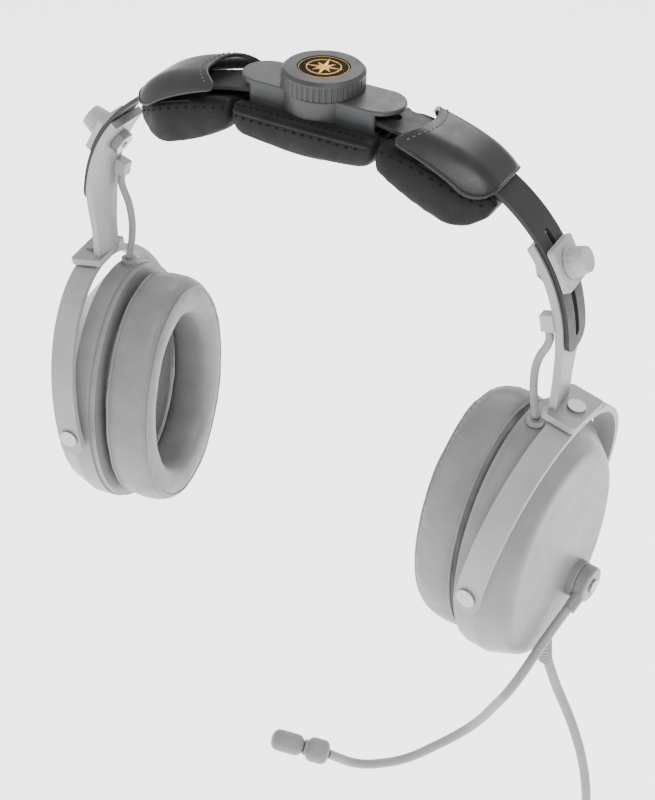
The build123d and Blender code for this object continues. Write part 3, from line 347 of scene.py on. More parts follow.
def make_materials():
    """One finish for each slot of the record, and the gold print and the two threads."""
    return {
        "cap_plastic": moulded("cap_plastic", 0.040, 0.052, (0.36, 0.48), 0.035, warm=-0.05),
        "knob_plastic": moulded("knob_plastic", 0.030, 0.040, (0.42, 0.55), 0.035),
        "badge": moulded("badge", 0.0015, 0.003, (0.5, 0.6), 0.004, specular=0.04),
        "gold": brushed("gold_print", 0.34, 0.46, (0.34, 0.44), (1.0, 1.0, 1.0), 0.6, warm=0.86),
        "steel": brushed("steel", 0.30, 0.42),
        "spring_band": moulded("spring_band", 0.019, 0.027, (0.42, 0.54), 0.02, warm=0.03, specular=0.25),
        "pad_leather": leather("pad_leather", 0.005, 0.0085, 900.0, (0.52, 0.66), specular=0.18),
        "sleeve_leather": leather("sleeve_leather", 0.016, 0.024, 1300.0, (0.29, 0.39), 0.28, 0.022),
        "arm_metal": brushed("arm_metal", 0.24, 0.30, (0.42, 0.55), (1.0, 1.0, 0.08), 0.35),
        "clamp_plastic": moulded("clamp_plastic", 0.30, 0.37, (0.42, 0.55), 0.03),
        "yoke_metal": moulded("yoke_metal", 0.27, 0.33, (0.40, 0.52), 0.03),
        "shell_plastic": moulded("shell_plastic", 0.17, 0.215, (0.34, 0.46), 0.04, coat=0.1),
        "seal_leather": leather("seal_leather", 0.15, 0.19, 1100.0, (0.42, 0.56)),
        "foam": foam_material("foam", 0.03, 0.08),
        "driver": moulded("driver", 0.02, 0.035),
        "cord_rubber": moulded("cord_rubber", 0.19, 0.24, (0.5, 0.62), 0.05),
        "boom_metal": moulded("boom_metal", 0.24, 0.30, (0.36, 0.48), 0.02),
        "mic_plastic": moulded("mic_plastic", 0.19, 0.24, (0.42, 0.55), 0.05),
        "plug_brass": brushed("plug_brass", 0.20, 0.30, (0.22, 0.32), (1.0, 1.0, 9.0), 1.0, warm=0.4),
        "dark_thread": thread("dark_thread", 0.004, 0.010),
        "pale_thread": thread("pale_thread", 0.10, 0.18),
    }


# ---------------------------------------------------------------- mesh helpers

def soften(made):
    """Add one level of subdivision."""
    smooth = made.modifiers.new("smooth", "SUBSURF")
    smooth.levels = 1
    smooth.render_levels = 1


def shade_smooth(mesh, smooth=True):
    for face in mesh.polygons:
        face.use_smooth = smooth


def mesh_object(name, points, faces, material):
    """Smooth-shaded object with its faces turned outward."""
    mesh = bpy.data.meshes.new(name)
    mesh.from_pydata([tuple(p) for p in points], [], faces)
    mesh.update()
    work = bmesh.new()
    work.from_mesh(mesh)
    bmesh.ops.recalc_face_normals(work, faces=work.faces)
    work.to_mesh(mesh)
    work.free()
    shade_smooth(mesh)
    made = bpy.data.objects.new(name, mesh)
    bpy.context.scene.collection.objects.link(made)
    mesh.materials.append(material)
    return made


def ring_faces(ring_count, ring_size, closed_route=False):
    """Quads between rings of points, with one flat face closing each end of an open route."""
    faces = []
    steps = ring_count if closed_route else ring_count - 1
    for i in range(steps):
        low = i * ring_size
        high = ((i + 1) % ring_count) * ring_size
        for j in range(ring_size):
            k = (j + 1) % ring_size
            faces.append((low + j, low + k, high + k, high + j))
    if not closed_route:
        faces.append(tuple(range(ring_size)))
        faces.append(tuple((ring_count - 1) * ring_size + j for j in range(ring_size)))
    return faces


def settle(made):
    """Apply every modifier on a mesh."""
    bpy.context.view_layer.update()
    graph = bpy.context.evaluated_depsgraph_get()
    mesh = bpy.data.meshes.new_from_object(made.evaluated_get(graph))
    made.modifiers.clear()
    made.data = mesh
    shade_smooth(mesh)


def tube_points(route, radius, sides, closed=False):
    """Rings of points round a route, carried along it without twisting.

    The radius is one number, or one for each point of the route."""
    count = len(route)
    radii = radius if isinstance(radius, (list, tuple)) else [radius] * count
    points = []
    across = None
    for i, spot in enumerate(route):
        if closed:
            ahead = route[(i + 1) % count] - route[i - 1]
        else:
            ahead = route[min(i + 1, count - 1)] - route[max(i - 1, 0)]
        ahead.normalize()
        if across is None:
            across = ahead.orthogonal().normalized()
        across = (across - ahead * across.dot(ahead)).normalized()
        side = ahead.cross(across)
        for j in range(sides):
            turn = 2 * math.pi * j / sides
            points.append(spot + (across * math.cos(turn) + side * math.sin(turn)) * radii[i])
    return points


def circle_route(height, radius, count):
    """Points round a level circle about the vertical axis, radius in millimetres, height in metres."""
    turns = [2 * math.pi * j / count for j in range(count)]
    return [Vector((radius * math.cos(t) * MM, radius * math.sin(t) * MM, height)) for t in turns]


def tube_mesh(name, route, radius, material, sides=14, closed=False):
    points = tube_points(route, radius, sides, closed)
    return mesh_object(name, points, ring_faces(len(route), sides, closed_route=closed), material)


def join_meshes(name, parts):
    """One object from several meshes with one material each."""
    work = bmesh.new()
    materials = []
    for part in parts:
        start = len(work.faces)
        work.from_mesh(part.data)
        work.faces.ensure_lookup_table()
        material = part.data.materials[0]
        if material not in materials:
            materials.append(material)
        for face in work.faces[start:]:
            face.material_index = materials.index(material)
            face.smooth = True
    mesh = bpy.data.meshes.new(name)
    work.to_mesh(mesh)
    work.free()
    for material in materials:
        mesh.materials.append(material)
    for part in parts:
        bpy.data.objects.remove(part)
    made = bpy.data.objects.new(name, mesh)
    bpy.context.scene.collection.objects.link(made)
    return made


def lathe(name, origin, axis, profile, material, sides=48):
    """Turned piece. The profile is a list of (distance along the axis, radius) in millimetres."""
    axis = axis.normalized()
    across = axis.orthogonal().normalized()
    side = axis.cross(across)
    points = []
    for along, radius in profile:
        for j in range(sides):
            turn = 2 * math.pi * j / sides
            reach = (across * math.cos(turn) + side * math.sin(turn)) * radius * MM
            points.append(origin + axis * along * MM + reach)
    return mesh_object(name, points, ring_faces(len(profile), sides), material)


def surface_of(made):
    """Search tree of a mesh's own surface."""
    return BVHTree.FromPolygons(
        [v.co.copy() for v in made.data.vertices],
        [tuple(face.vertices) for face in made.data.polygons],
    )


def surface_is_open(surface, place, normal):
    """True when nothing of the same surface lies close to the place on the normal's side."""
    step, reach = 0.0002, 0.004
    return surface.ray_cast(place + normal * step, normal, reach)[0] is None


def on_surface(surface, route, lift):
    """Route laid on a surface, standing off it by a small lift."""
    touching = 0.0001
    laid = []
    for spot in route:
        place, normal, _, _ = surface.find_nearest(spot)
        behind = normal.dot(spot - place) < 0 and (spot - place).length > touching
        if behind and not surface_is_open(surface, place, normal):
            normal = -normal
        laid.append(place + normal * lift)
    return laid


# Along a stitch: share of its length, then height off the surface and thickness by its radius
STITCH_FORM = ((0.0, -0.7, 0.45), (0.2, 0.3, 0.9), (0.5, 0.6, 1.0), (0.8, 0.3, 0.9), (1.0, -0.7, 0.45))


def stitches(name, route, surface, length, gap, radius, material):
    """Rounded stitches laid end to end on a surface, each sunk into it at its ends."""
    travelled = 0.0
    target = 0.0
    places = []
    for i in range(len(route) - 1):
        step = (route[i + 1] - route[i]).length
        while target <= travelled + step and step > 0:
            places.append(route[i].lerp(route[i + 1], (target - travelled) / step))
            target += length if len(places) % 2 else gap
        travelled += step
    parts = []
    widths = [radius * width for _, _, width in STITCH_FORM]
    for index in range(0, len(places) - 1, 2):
        first, last = places[index], places[index + 1]
        spots = []
        for share, height, _ in STITCH_FORM:
            spots += on_surface(surface, [first.lerp(last, share)], height * radius)
        parts.append(tube_mesh(f"stitch_{index}", spots, widths, material, sides=6))
    return join_meshes(name, parts)


def nurbs_curve(name, points, steps):
    """Smooth curve through a route's control points, touching the first and the last."""
    data = bpy.data.curves.new(name, "CURVE")
    data.dimensions = "3D"
    data.resolution_u = steps
    line = data.splines.new("NURBS")
    line.points.add(len(points) - 1)
    for knot, point in zip(line.points, points):
        knot.co = (*point, 1.0)
    line.order_u = 3
    line.use_endpoint_u = True
    made = bpy.data.objects.new(name, data)
    bpy.context.scene.collection.objects.link(made)
    return made


def spline_points(points, steps):
    """Points read from the smooth curve led by a route's control points."""
    holder = nurbs_curve("route", points, steps)
    bpy.context.view_layer.update()
    mesh = bpy.data.meshes.new_from_object(holder)
    found = [v.co.copy() for v in mesh.vertices]
    bpy.data.meshes.remove(mesh)
    bpy.data.objects.remove(holder)
    return found


# ---------------------------------------------------------------- padded pieces

CLOTH_FRAMES = 20
CLOTH_PRESSURE = 4.0


def inflate(made, voxel, limit, pinned):
    """Swell a mesh as cloth under pressure, no point by more than the limit.

    Points where pinned(place) is true hold still."""
    remesh = made.modifiers.new("remesh", "REMESH")
    remesh.mode = "VOXEL"
    remesh.voxel_size = voxel
    settle(made)
    start = [v.co.copy() for v in made.data.vertices]
    group = made.vertex_groups.new(name="held")
    group.add([i for i, place in enumerate(start) if pinned(place)], 1.0, "REPLACE")
    cloth = made.modifiers.new("cloth", "CLOTH")
    cloth.settings.use_pressure = True
    cloth.settings.uniform_pressure_force = CLOTH_PRESSURE
    cloth.settings.effector_weights.gravity = 0.0
    cloth.settings.vertex_group_mass = "held"
    cloth.settings.quality = 5
    cloth.point_cache.frame_start = 1
    cloth.point_cache.frame_end = CLOTH_FRAMES
    scene = bpy.context.scene
    for step in range(1, CLOTH_FRAMES + 1):
        scene.frame_set(step)
    bpy.context.view_layer.update()
    graph = bpy.context.evaluated_depsgraph_get()
    swollen = bpy.data.meshes.new_from_object(made.evaluated_get(graph))
    for i, point in enumerate(swollen.vertices):
        move = point.co - start[i]
        if move.length > limit:
            point.co = start[i] + move.normalized() * limit
    made.modifiers.clear()
    made.vertex_groups.clear()
    made.data = swollen
    scene.frame_set(1)
    soften(made)
    settle(made)


def bottom_arc(first, middle, last, share):
    """Point on the circle through three points, share 0 to 1 from first to last."""
    (ax, az), (bx, bz), (cx, cz) = first, middle, last
    a_square, b_square, c_square = (x**2 + z**2 for x, z in (first, middle, last))
    twice_area = 2 * (ax * (bz - cz) + bx * (cz - az) + cx * (az - bz))
    centre_x = (a_square * (bz - cz) + b_square * (cz - az) + c_square * (az - bz)) / twice_area
    centre_z = (a_square * (cx - bx) + b_square * (ax - cx) + c_square * (bx - ax)) / twice_area
    start = math.atan2(az - centre_z, ax - centre_x)
    end = math.atan2(cz - centre_z, cx - centre_x)
    while end - start > math.pi:
        end -= 2 * math.pi
    while end - start < -math.pi:
        end += 2 * math.pi
    turn = start + (end - start) * share
    radius = math.hypot(ax - centre_x, az - centre_z)
    return centre_x + radius * math.cos(turn), centre_z + radius * math.sin(turn)


# Where a crown pad's cross-sections stand along it, closer together at its rounded ends
PAD_SHARES = (0.0, 0.012, 0.04, 0.09, 0.17, 0.27, 0.38, 0.5, 0.62, 0.73, 0.83, 0.91, 0.96, 0.988, 1.0)
END_SHRINK = (0.80, 0.92, 0.98)

# Half of a pad's cross-section, from the middle of its top outward: share of the half width and
# depth below the top, where None stands for the depth of the top panel
PIPED_TOP = (
    (0.0, None), (0.32, None), (0.54, None),
    (0.60, -1.9), (0.78, -1.8), (0.93, -0.3), (0.985, 1.2),
)
PUCKERED_TOP = (
    (0.0, None), (0.32, None), (0.52, None),
    (0.64, -1.5), (0.80, -1.9), (0.93, -0.2), (0.985, 2.4),
)
SEAM_INDEX = len(PIPED_TOP) - 1

# Sewn rows beside a seam: distance in and up in millimetres, then stitch, gap and radius in metres
PIPED_ROWS = ((-2.6, 0.8, 0.0014, 0.0013, 0.00030), (0.6, -1.9, 0.0016, 0.0018, 0.00030))
PUCKERED_ROWS = ((0.6, 1.8, 0.0016, 0.0024, 0.00032),)

PAD_HALF_WIDTH = 17.2
CENTRE_PAD_BELLY = 0.6
SIDE_PAD_BELLY = 0.4
CENTRE_PAD_REACH = 28.6
CENTRE_PAD_TOP = 150.0
CENTRE_PAD_CAMBER = 0.1
CENTRE_PAD_LOW = ((-28.0, 140.7), (0.0, 137.9), (28.0, 140.7))
CENTRE_PANEL_DEPTH = 2.6
SIDE_PAD_START = 29.4
SIDE_PAD_END = flank_arc(33.8)
SIDE_PAD_LIFT = -3.0
SIDE_PANEL_DEPTH = 0.3

# Underside of a side pad as (x, z): the start and middle of its arc, its lowest corner, and the
# outer end of the slope above that corner
SIDE_PAD_LOW = ((28.2, 141.2), (47.5, 130.8))
PAD_HEEL = (61.5, 126.4)
PAD_TOE = (69.5, 131.0)
HEEL_SHARE = 0.83

# How far the inflated leather may swell, and the grid it is remeshed on, in metres
SWELL_LIMIT = 0.0011
PAD_GRID = 0.0023
SEAL_GRID = 0.0032

# Reach in metres within which a pad's seams and its top panel hold the leather still
SEAM_HOLD = 0.0022
PANEL_HOLD = 0.003

PAD_WELT_RADIUS = 0.00085
WELT_LIFT = 0.0001

# The side pad draws in from this distance to the middle of the head, over this length
PAD_NARROW_START = 61.0
PAD_NARROW_LENGTH = 12.0
PAD_NARROWING = 6.4


def pad_profile(half, depth, panel_depth, piped):
    """Half of a crown pad's cross-section as (distance from its middle, depth below its top)."""
    form = PIPED_TOP if piped else PUCKERED_TOP
    top = [(half * share, panel_depth if n is None else n) for share, n in form]
    start = top[-1][1]
    bulge = ((1.01, 0.30), (1.02, 0.66), (1.0, 0.92))
    wall = [(half * share, start + (depth - start) * fall) for share, fall in bulge]
    return top + wall + [(half * 0.88, depth + 0.5), (half * 0.45, depth + 0.6)]


def pad_ring(top, low, half, shrink, panel_depth, piped):
    """Cross-section of a crown pad, drawn in towards its middle at the pad's ends."""
    depth = (low - top).length / MM
    down = (low - top).normalized()
    profile = pad_profile(half, depth, panel_depth, piped)
    profile = profile + [(-y, n) for y, n in reversed(profile[1:])]
    middle = depth / 2
    height_share = 0.4 + 0.6 * shrink
    width_share = 0.3 + 0.7 * shrink
    ring = []
    for y, n in profile:
        n = middle + (n - middle) * height_share
        ring.append(top + down * n * MM + Vector((0.0, y * width_share * MM, 0.0)))
    return ring


def make_crown_pads(looks):
    sections = []
    for share in PAD_SHARES:
        x = -CENTRE_PAD_REACH + 2 * CENTRE_PAD_REACH * share
        low = bottom_arc(*CENTRE_PAD_LOW, share)
        top = Vector((x, 0.0, CENTRE_PAD_TOP - CENTRE_PAD_CAMBER * (x / 28) ** 2)) * MM
        half = PAD_HALF_WIDTH + CENTRE_PAD_BELLY * math.sin(math.pi * share)
        sections.append((top, Vector((low[0] * 0.99, 0.0, low[1])) * MM, half))
    finish_pad("centre_pad", sections, looks, CENTRE_PANEL_DEPTH, True)
    for name, side in SIDES.items():
        sections = []
        for share in PAD_SHARES:
            arc = SIDE_PAD_START + (SIDE_PAD_END - SIDE_PAD_START) * share
            top = arch_point(side, arc, SIDE_PAD_LIFT)
            if share < HEEL_SHARE:
                low = bottom_arc(*SIDE_PAD_LOW, PAD_HEEL, share / HEEL_SHARE)
            else:
                rise = (share - HEEL_SHARE) / (1.0 - HEEL_SHARE)
                low = [heel + (toe - heel) * rise for heel, toe in zip(PAD_HEEL, PAD_TOE)]
            narrow = min(1.0, max(0.0, (top.x * side / MM - PAD_NARROW_START) / PAD_NARROW_LENGTH))
            half = PAD_HALF_WIDTH + SIDE_PAD_BELLY * math.sin(math.pi * share) - PAD_NARROWING * narrow
            sections.append((top, Vector((side * low[0], 0.0, low[1])) * MM, half))
        finish_pad(f"{name}_pad", sections, looks, SIDE_PANEL_DEPTH, False)


def finish_pad(node, sections, looks, panel_depth, piped):
    """Pad in inflated leather, with a piped or puckered seam round its top and sewn rows."""
    count = len(sections)
    rings = []
    for i, (top, low, half) in enumerate(sections):
        end = min(i, count - 1 - i)
        shrink = END_SHRINK[end] if end < len(END_SHRINK) else 1.0
        rings.append(pad_ring(top, low, half, shrink, panel_depth, piped))
    size = len(rings[0])
    made = mesh_object(f"{node}_cover", [p for ring in rings for p in ring],
                       ring_faces(count, size), looks["pad_leather"])
    soften(made)
    settle(made)
    seams = (SEAM_INDEX, size - SEAM_INDEX)
    seam_points = [ring[i] for ring in rings for i in seams]
    panel_points = [ring[i] for ring in rings for i in (0, 1, 2, size - 1, size - 2)]

    def pinned(place):
        near_seam = min((place - p).length for p in seam_points) < SEAM_HOLD
        return near_seam or min((place - p).length for p in panel_points) < PANEL_HOLD

    inflate(made, PAD_GRID, SWELL_LIMIT, pinned)
    surface = surface_of(made)
    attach(made, "headband")
    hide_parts(node)
    rows = []
    for index, way in zip(seams, (1, -1)):
        seam = spline_points([ring[index] for ring in rings[2:-2]], 6)
        for inward, up, length, gap, radius in PIPED_ROWS if piped else PUCKERED_ROWS:
            line = [p + Vector((0.0, way * inward * MM, up * MM)) for p in seam]
            rows.append(stitches("row", line, surface, length, gap, radius, looks["dark_thread"]))
    sewing = join_meshes(f"{node}_stitches", rows)
    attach(sewing, "headband")
    if piped:
        welts = []
        for index in seams:
            seam = spline_points([ring[index] for ring in rings[1:-1]], 6)
            line = on_surface(surface, seam, WELT_LIFT)
            last = len(line) - 1
            radii = [PAD_WELT_RADIUS * min(1.0, 0.25 + min(i, last - i) / 5) for i in range(last + 1)]
            welts.append(tube_mesh("welt", line, radii, looks["pad_leather"], sides=10))
        piping = join_meshes(f"{node}_piping", welts)
        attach(piping, "headband")


# ---------------------------------------------------------------- sleeves

# How each leather sits: arc of its inner tips, depth of its notch, height it stands off the strip
SLEEVE_SET = {1: (34.2, 7.6, 2.7), -1: (31.9, 12.0, 3.6)}

SLEEVE_HALF = 17.2
SLEEVE_END = flank_arc(30.0)
SLEEVE_LIFT = 3.3

# The outer corners are quarter ellipses that start at this distance from the middle of the head
SLEEVE_CORNER_X = 60.5
SLEEVE_CORNER_LENGTH = 9.2
SLEEVE_CORNER_WIDTH = 7.4
SLEEVE_END_HALF = 9.8

# The rounding of the inner tips, in from the front and back edges
TIP_ROUNDING = 3.6
TIP_FLAT = 13.6
TIP_DRAW = 3.4

# The leather droops beyond this distance from the strip's middle
DROOP_START = 6.5
DROOP_WIDTH = 10.7

LINING_START = 44.0
LINING_END = flank_arc(29.6)
LINING_HALF = 16.6

SLEEVE_THICKNESS = 0.0014
SLEEVE_EDGE = 0.0004
HEM_RADIUS = 0.00062
HEM_DROP = Vector((0.0, 0.0, -0.0006))

# The sewn row's place: share of the way outward, and how far it runs to each side
SEWN_U = 0.085
SEWN_V = 0.86


def sleeve_half(x):
    """Half width of the sleeve at a distance from the middle of the head, rounded at its outer corner."""
    if x < SLEEVE_CORNER_X:
        return SLEEVE_HALF
    share = min(1.0, (x - SLEEVE_CORNER_X) / SLEEVE_CORNER_LENGTH)
    return SLEEVE_END_HALF + SLEEVE_CORNER_WIDTH * math.sqrt(1 - share * share)


def sleeve_sheet(side, u, v):
    """Place on the leather's outer face, u from the crown outward, v from front to back."""
    tip, notch, rise = SLEEVE_SET[side]
    corner = min(0.998, max(0.0, (abs(v) * SLEEVE_HALF - TIP_FLAT) / TIP_ROUNDING))
    start = tip + notch * (1 - abs(v) ** 2.2) + TIP_DRAW * (1 - math.sqrt(1 - corner * corner))
    arc = start + (SLEEVE_END - start) * u
    flat = arch_point(1, arc, 0.0)
    y = v * sleeve_half(flat.x / MM)
    over = max(0.0, abs(y) - DROOP_START) / DROOP_WIDTH
    droop = over * over * (3.6 + 4.0 * u)
    if v > 0:
        droop += over ** 3 * 4.5 * (1 - u)
    lift = SLEEVE_LIFT - droop + rise * (1 - u ** 4)
    return arch_point(side, arc, lift, y)


def sleeve_edge(side):
    """Route round the whole edge of a sleeve's leather."""
    inner = [sleeve_sheet(side, 0.0, -1 + 2 * j / 24) for j in range(25)]
    back = [sleeve_sheet(side, i / 24, 1.0) for i in range(1, 25)]
    outer = [sleeve_sheet(side, 1.0, 1 - 2 * j / 16) for j in range(1, 17)]
    front = [sleeve_sheet(side, 1 - i / 24, -1.0) for i in range(1, 24)]
    return inner + back + outer + front


def make_sleeve(name, side, looks):
    """Sleeve of thick leather with a hem, a sewn row at its inner edge, and a lining under the strip."""
    rows, columns = 30, 25
    points = [sleeve_sheet(side, i / (rows - 1), 2 * j / (columns - 1) - 1)
              for i in range(rows) for j in range(columns)]
    faces = []
    for i in range(rows - 1):
        for j in range(columns - 1):
            a = i * columns + j
            faces.append((a, a + 1, a + columns + 1, a + columns))
    made = mesh_object(f"{name}_sleeve_leather", points, faces, looks["sleeve_leather"])
    if sum(face.normal.z for face in made.data.polygons) < 0:
        made.data.flip_normals()
    shell = made.modifiers.new("thick", "SOLIDIFY")
    shell.thickness = SLEEVE_THICKNESS
    shell.offset = -1.0
    shell.use_even_offset = True
    edge = made.modifiers.new("edge", "BEVEL")
    edge.width = SLEEVE_EDGE
    edge.segments = 2
    edge.limit_method = "ANGLE"
    edge.angle_limit = math.radians(50)
    soften(made)
    settle(made)
    surface = surface_of(made)
    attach(made, "headband")
    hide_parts(f"{name}_sleeve")

    hem = tube_mesh(f"{name}_sleeve_hem", [p + HEM_DROP for p in sleeve_edge(side)], HEM_RADIUS,
                    looks["sleeve_leather"], sides=8, closed=True)
    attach(hem, "headband")

    sewn_line = [sleeve_sheet(side, SEWN_U, -SEWN_V + 2 * SEWN_V * j / 40) for j in range(41)]
    row = stitches(f"{name}_sleeve_stitches", sewn_line, surface, 0.0009, 0.0012, 0.00026,
                   looks["pale_thread"])
    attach(row, "headband")

    rings = []
    for i in range(12):
        arc = LINING_START + (LINING_END - LINING_START) * i / 11
        flat = arch_point(1, arc, 0.0)
        half = min(sleeve_half(flat.x / MM), LINING_HALF) - 0.5
        outline = ((-half, -1.9), (0.0, -1.8), (half, -1.9), (half, -2.7), (0.0, -2.8), (-half, -2.7))
        rings.append([arch_point(side, arc, lift, y) for y, lift in outline])
    lining = mesh_object(f"{name}_sleeve_lining", [p for ring in rings for p in ring],
                         ring_faces(len(rings), 6), looks["sleeve_leather"])
    soften(lining)
    settle(lining)
    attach(lining, "headband")


# ---------------------------------------------------------------- badge

STAR_RAYS = 8
STAR_TURN = 12
LONG_RAY = 7.2
SHORT_RAY = 4.6
STAR_HIP = 1.9

# Radius of each ring round the star, and the radius of its own section
BADGE_RINGS = ((6.0, 0.24), (8.7, 0.10))

# Heights above the badge in metres: the star's middle, its points and the rings. Its foot is sunk
STAR_PEAK = 0.00042
STAR_EDGE = 0.00010
RING_RISE = 0.00004
STAR_SUNK = 0.0001


def make_badge(looks):
    """Generic compass star and two rings on the dial's badge."""
    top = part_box("dial_badge")[1][2]
    gold = looks["gold"]
    step = 360 / STAR_RAYS
    parts = []
    for turn in range(STAR_RAYS):
        reach = LONG_RAY if turn % 2 == 0 else SHORT_RAY
        heading = math.radians(step * turn + STAR_TURN)
        tip = (reach * math.cos(heading), reach * math.sin(heading))
        for flank in (-1, 1):
            beside = heading + flank * math.radians(step / 2)
            hip = (STAR_HIP * math.cos(beside), STAR_HIP * math.sin(beside))
            corners = ((0.0, 0.0), tip, hip)
            upper = [Vector((x * MM, y * MM, top + rise))
                     for (x, y), rise in zip(corners, (STAR_PEAK, STAR_EDGE, STAR_EDGE))]
            lower = [Vector((x * MM, y * MM, top - STAR_SUNK)) for x, y in corners]
            faces = [(0, 1, 2), (3, 5, 4), (0, 3, 4, 1), (1, 4, 5, 2), (2, 5, 3, 0)]
            parts.append(mesh_object(f"ray_{turn}_{flank}", upper + lower, faces, gold))
    for radius, width in BADGE_RINGS:
        route = circle_route(top + RING_RISE, radius, 72)
        parts.append(tube_mesh(f"ring_{radius}", route, width * MM, gold, sides=8, closed=True))
    star = join_meshes("badge_star", parts)
    shade_smooth(star.data, False)
    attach(star, "dial")


# ---------------------------------------------------------------- ear seals

# Half lengths of the cushion's ovals, front to back and up, at its opening and at its outside
SEAL_INNER = (25.6, 37.0)
SEAL_OUTER = (40.6, 54.6)
SEAL_DROP = 1.5
SEAL_HALF_DEPTH = 10.6
SEAL_OUT = -20.6
SEAL_SQUARENESS = 0.62

# Piping as (turn round the cushion's cross-section, radius in millimetres), and the sewn row's turn
SEAL_PIPING = ((0.62, 0.70), (2 * math.pi - 1.15, 0.55))
SEAL_SEWING = 2 * math.pi - 0.85

# The cushion holds still further out of the head than this, where it sits on the cup
SEAL_SEAT = -11.5


def seal_point(side, turn, ring):
    """Place on the seal: turn round the ear, ring round the cross-section of the cushion."""
    middle = [(a + b) / 2 for a, b in zip(SEAL_INNER, SEAL_OUTER)]
    reach = [(b - a) / 2 for a, b in zip(SEAL_INNER, SEAL_OUTER)]
    c, s = math.cos(ring), math.sin(ring)
    across = math.copysign(abs(c) ** SEAL_SQUARENESS, c)
    along = math.copysign(abs(s) ** SEAL_SQUARENESS, s)
    back = (middle[0] + reach[0] * across) * math.cos(turn)
    up = (middle[1] + reach[1] * across) * math.sin(turn) - SEAL_DROP
    return cup_point(side, back, up, SEAL_OUT + SEAL_HALF_DEPTH * along)


def seal_round(side, ring, count):
    """Route once round the ear at one turn of the cushion's cross-section."""
    return [seal_point(side, 2 * math.pi * i / count, ring) for i in range(count)]


def make_seal(name, side, looks):
    """Cushion inflated against the cup, with two welts and a sewn row."""
    rounds, ring = 72, 20
    points = [seal_point(side, 2 * math.pi * i / rounds, 2 * math.pi * j / ring)
              for i in range(rounds) for j in range(ring)]
    made = mesh_object(f"{name}_seal_cushion", points, ring_faces(rounds, ring, closed_route=True),
                       looks["seal_leather"])
    out = cup_axes(side)[2]
    seat = cup_point(side, 0, 0, SEAL_SEAT).dot(out)

    def pinned(place):
        return place.dot(out) > seat

    inflate(made, SEAL_GRID, SWELL_LIMIT, pinned)
    surface = surface_of(made)
    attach(made, f"{name}_cup")
    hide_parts(f"{name}_ear_seal")
    parts = []
    for ring_turn, radius in SEAL_PIPING:
        route = on_surface(surface, seal_round(side, ring_turn, 120), WELT_LIFT)
        parts.append(tube_mesh("welt", route, radius * MM, looks["seal_leather"], sides=8, closed=True))
    welt = join_meshes(f"{name}_seal_piping", parts)
    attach(welt, f"{name}_cup")
    route = [seal_point(side, 2 * math.pi * i / 160, SEAL_SEWING) for i in range(161)]
    row = stitches(f"{name}_seal_stitches", route, surface, 0.0018, 0.0014, 0.00018,
                   looks["seal_leather"])
    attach(row, f"{name}_cup")


# ---------------------------------------------------------------- leads and cable

CABLE_RADIUS = 0.0022
LEAD_RADIUS = 0.0015
LEAD_SPLIT_Z = 0.068


def make_leads(looks):
    """Thin leads from the cups to the bosses under the arms, in two lengths split at one height."""
    for name, side in SIDES.items():
        route = [
            cup_point(side, side * -7.0, 57.2, -3.0),
            cup_point(side, side * -7.0, 68.2, -5.8),
            Vector((side * 92.0, side * -7.6, 80.0)) * MM,
            lead_point(side, 59.8, 84),
            lead_point(side, 59.4, 79.5),
            lead_point(side, 59.25, 75),
        ]
        line = spline_points(route, 14)
        bend = min(range(len(line)), key=lambda i: abs(line[i].z - LEAD_SPLIT_Z))
        sides = 14
        rings = tube_points(line, LEAD_RADIUS, sides)
        lower = mesh_object(f"{name}_lead_low", rings[:(bend + 1) * sides],
                            ring_faces(bend + 1, sides), looks["cord_rubber"])
        upper = mesh_object(f"{name}_lead_high", rings[bend * sides:],
                            ring_faces(len(line) - bend, sides), looks["cord_rubber"])
        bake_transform(lower)
        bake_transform(upper)
        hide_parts(f"{name}_lead")


RELIEF_DIR = Vector((0.13, 0.22, -0.967)).normalized()
RELIEF_FOOT = cup_point(1, 6.0, -51.0, 5.5)
RELIEF_LENGTH = 29.0

# The tied coil: its middle, the radius of its turns, and the bundle its strands stand in
COIL_CENTRE = Vector((135.0, 30.4, -289.0))
COIL_RADIUS = 26.0
COIL_STRANDS = 8
COIL_SPACING = 6.1
COIL_START = math.radians(40.0)
COIL_TURNS = 7.139
COIL_STEPS_PER_TURN = 20
PLUG_TOP = Vector((130.8, 62.2, -311.0))


def relief_place(step):
    """Place along the strain relief's axis, in millimetres from its foot in the cup."""
    return RELIEF_FOOT + RELIEF_DIR * step * MM


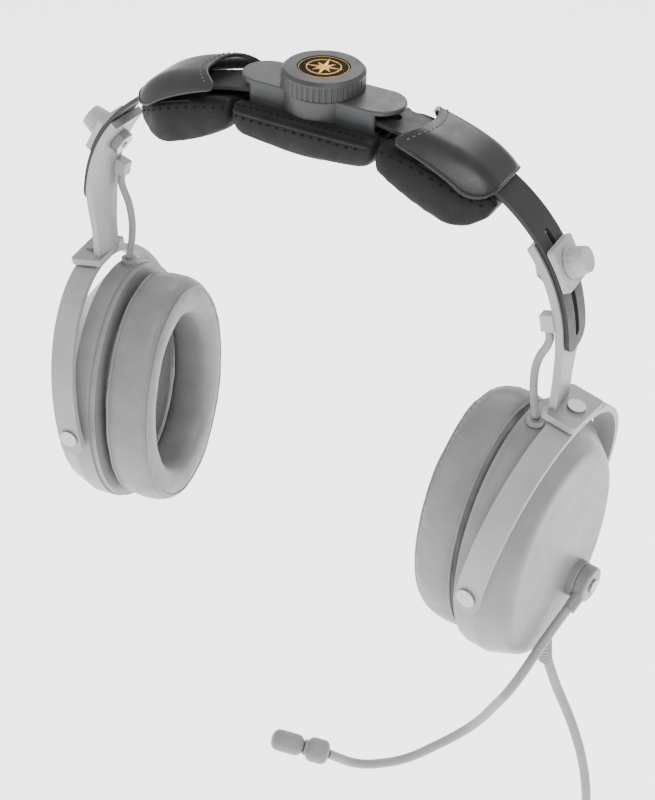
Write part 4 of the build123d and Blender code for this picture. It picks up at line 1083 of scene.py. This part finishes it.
def cable_route():
    """The hanging cable, then the turns of its coil by a loop, then the tail into the plug."""
    route = [
        relief_place(1.0),
        relief_place(33.0),
        Vector((123.5, 29.0, -136.0)) * MM,
        Vector((132.0, 38.5, -180.0)) * MM,
        Vector((135.0, 43.0, -222.0)) * MM,
        Vector((135.0, 43.5, -248.0)) * MM,
    ]
    steps = round(COIL_TURNS * COIL_STEPS_PER_TURN)
    widen = 1 / math.cos(math.pi / COIL_STEPS_PER_TURN) ** 0.5
    for i in range(steps + 1):
        done = COIL_TURNS * i / steps
        angle = COIL_START + 2 * math.pi * done
        phase = 2 * math.pi * done / COIL_STRANDS
        reach = (COIL_RADIUS + COIL_SPACING * math.cos(phase)) * widen
        side = COIL_SPACING * math.sin(phase)
        spot = COIL_CENTRE + Vector((side, reach * math.sin(angle), reach * math.cos(angle)))
        route.append(spot * MM)
    route.append((PLUG_TOP + Vector((0.0, 0.0, 10.0))) * MM)
    route.append((PLUG_TOP + Vector((0.0, 0.0, -3.0))) * MM)
    return route


def make_cable(looks):
    cable = nurbs_curve("cable", cable_route(), 8)
    cable.data.bevel_depth = CABLE_RADIUS
    cable.data.bevel_resolution = 5
    cable.data.use_fill_caps = True
    cable.data.materials.append(looks["cord_rubber"])
    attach(cable, "left_cup")
    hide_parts("main_cable", "cable_coil")


RELIEF_RIBS = 7
RELIEF_FIRST_RIB = 11.4
RELIEF_PITCH = 2.45
RELIEF_RIB_RADIUS = 4.35
RELIEF_TAPER = 0.19


def make_relief(looks):
    """Ribbed, tapered strain relief in place of the plain cone."""
    collar = [(0.0, 3.0), (8.8, 3.0), (8.8, 4.6), (10.6, 4.75), (11.0, 4.5)]
    ribs = []
    for i in range(RELIEF_RIBS):
        at = RELIEF_FIRST_RIB + i * RELIEF_PITCH
        radius = RELIEF_RIB_RADIUS - RELIEF_TAPER * i
        ribs += [(at, radius), (at + 1.35, radius - 0.08)]
        ribs += [(at + 1.6, radius - 0.75), (at + 2.2, radius - 0.78)]
    end = [(RELIEF_LENGTH - 0.4, 2.95), (RELIEF_LENGTH, 2.6)]
    made = lathe("strain_relief_ribs", relief_place(0.0), RELIEF_DIR, collar + ribs + end,
                 looks["cord_rubber"])
    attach(made, "left_cup")
    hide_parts("strain_relief")


# ---------------------------------------------------------------- the scene

def dress_nodes(looks):
    """The record's slot decides each carried-over node's finish."""
    slots = {row["node"]: row["material_slot"] for row in frame["record"]["subparts"]}
    for node, made in frame["nodes"].items():
        look = looks[slots[node]]
        if made.data.materials:
            for index in range(len(made.data.materials)):
                made.data.materials[index] = look
        else:
            made.data.materials.append(look)


make_camera()
looks = make_materials()
make_floor()
make_lights()
make_cable(looks)
make_leads(looks)
make_relief(looks)
make_crown_pads(looks)
for side_name, sign in SIDES.items():
    make_sleeve(side_name, sign, looks)
    make_seal(side_name, sign, looks)
make_badge(looks)
dress_nodes(looks)
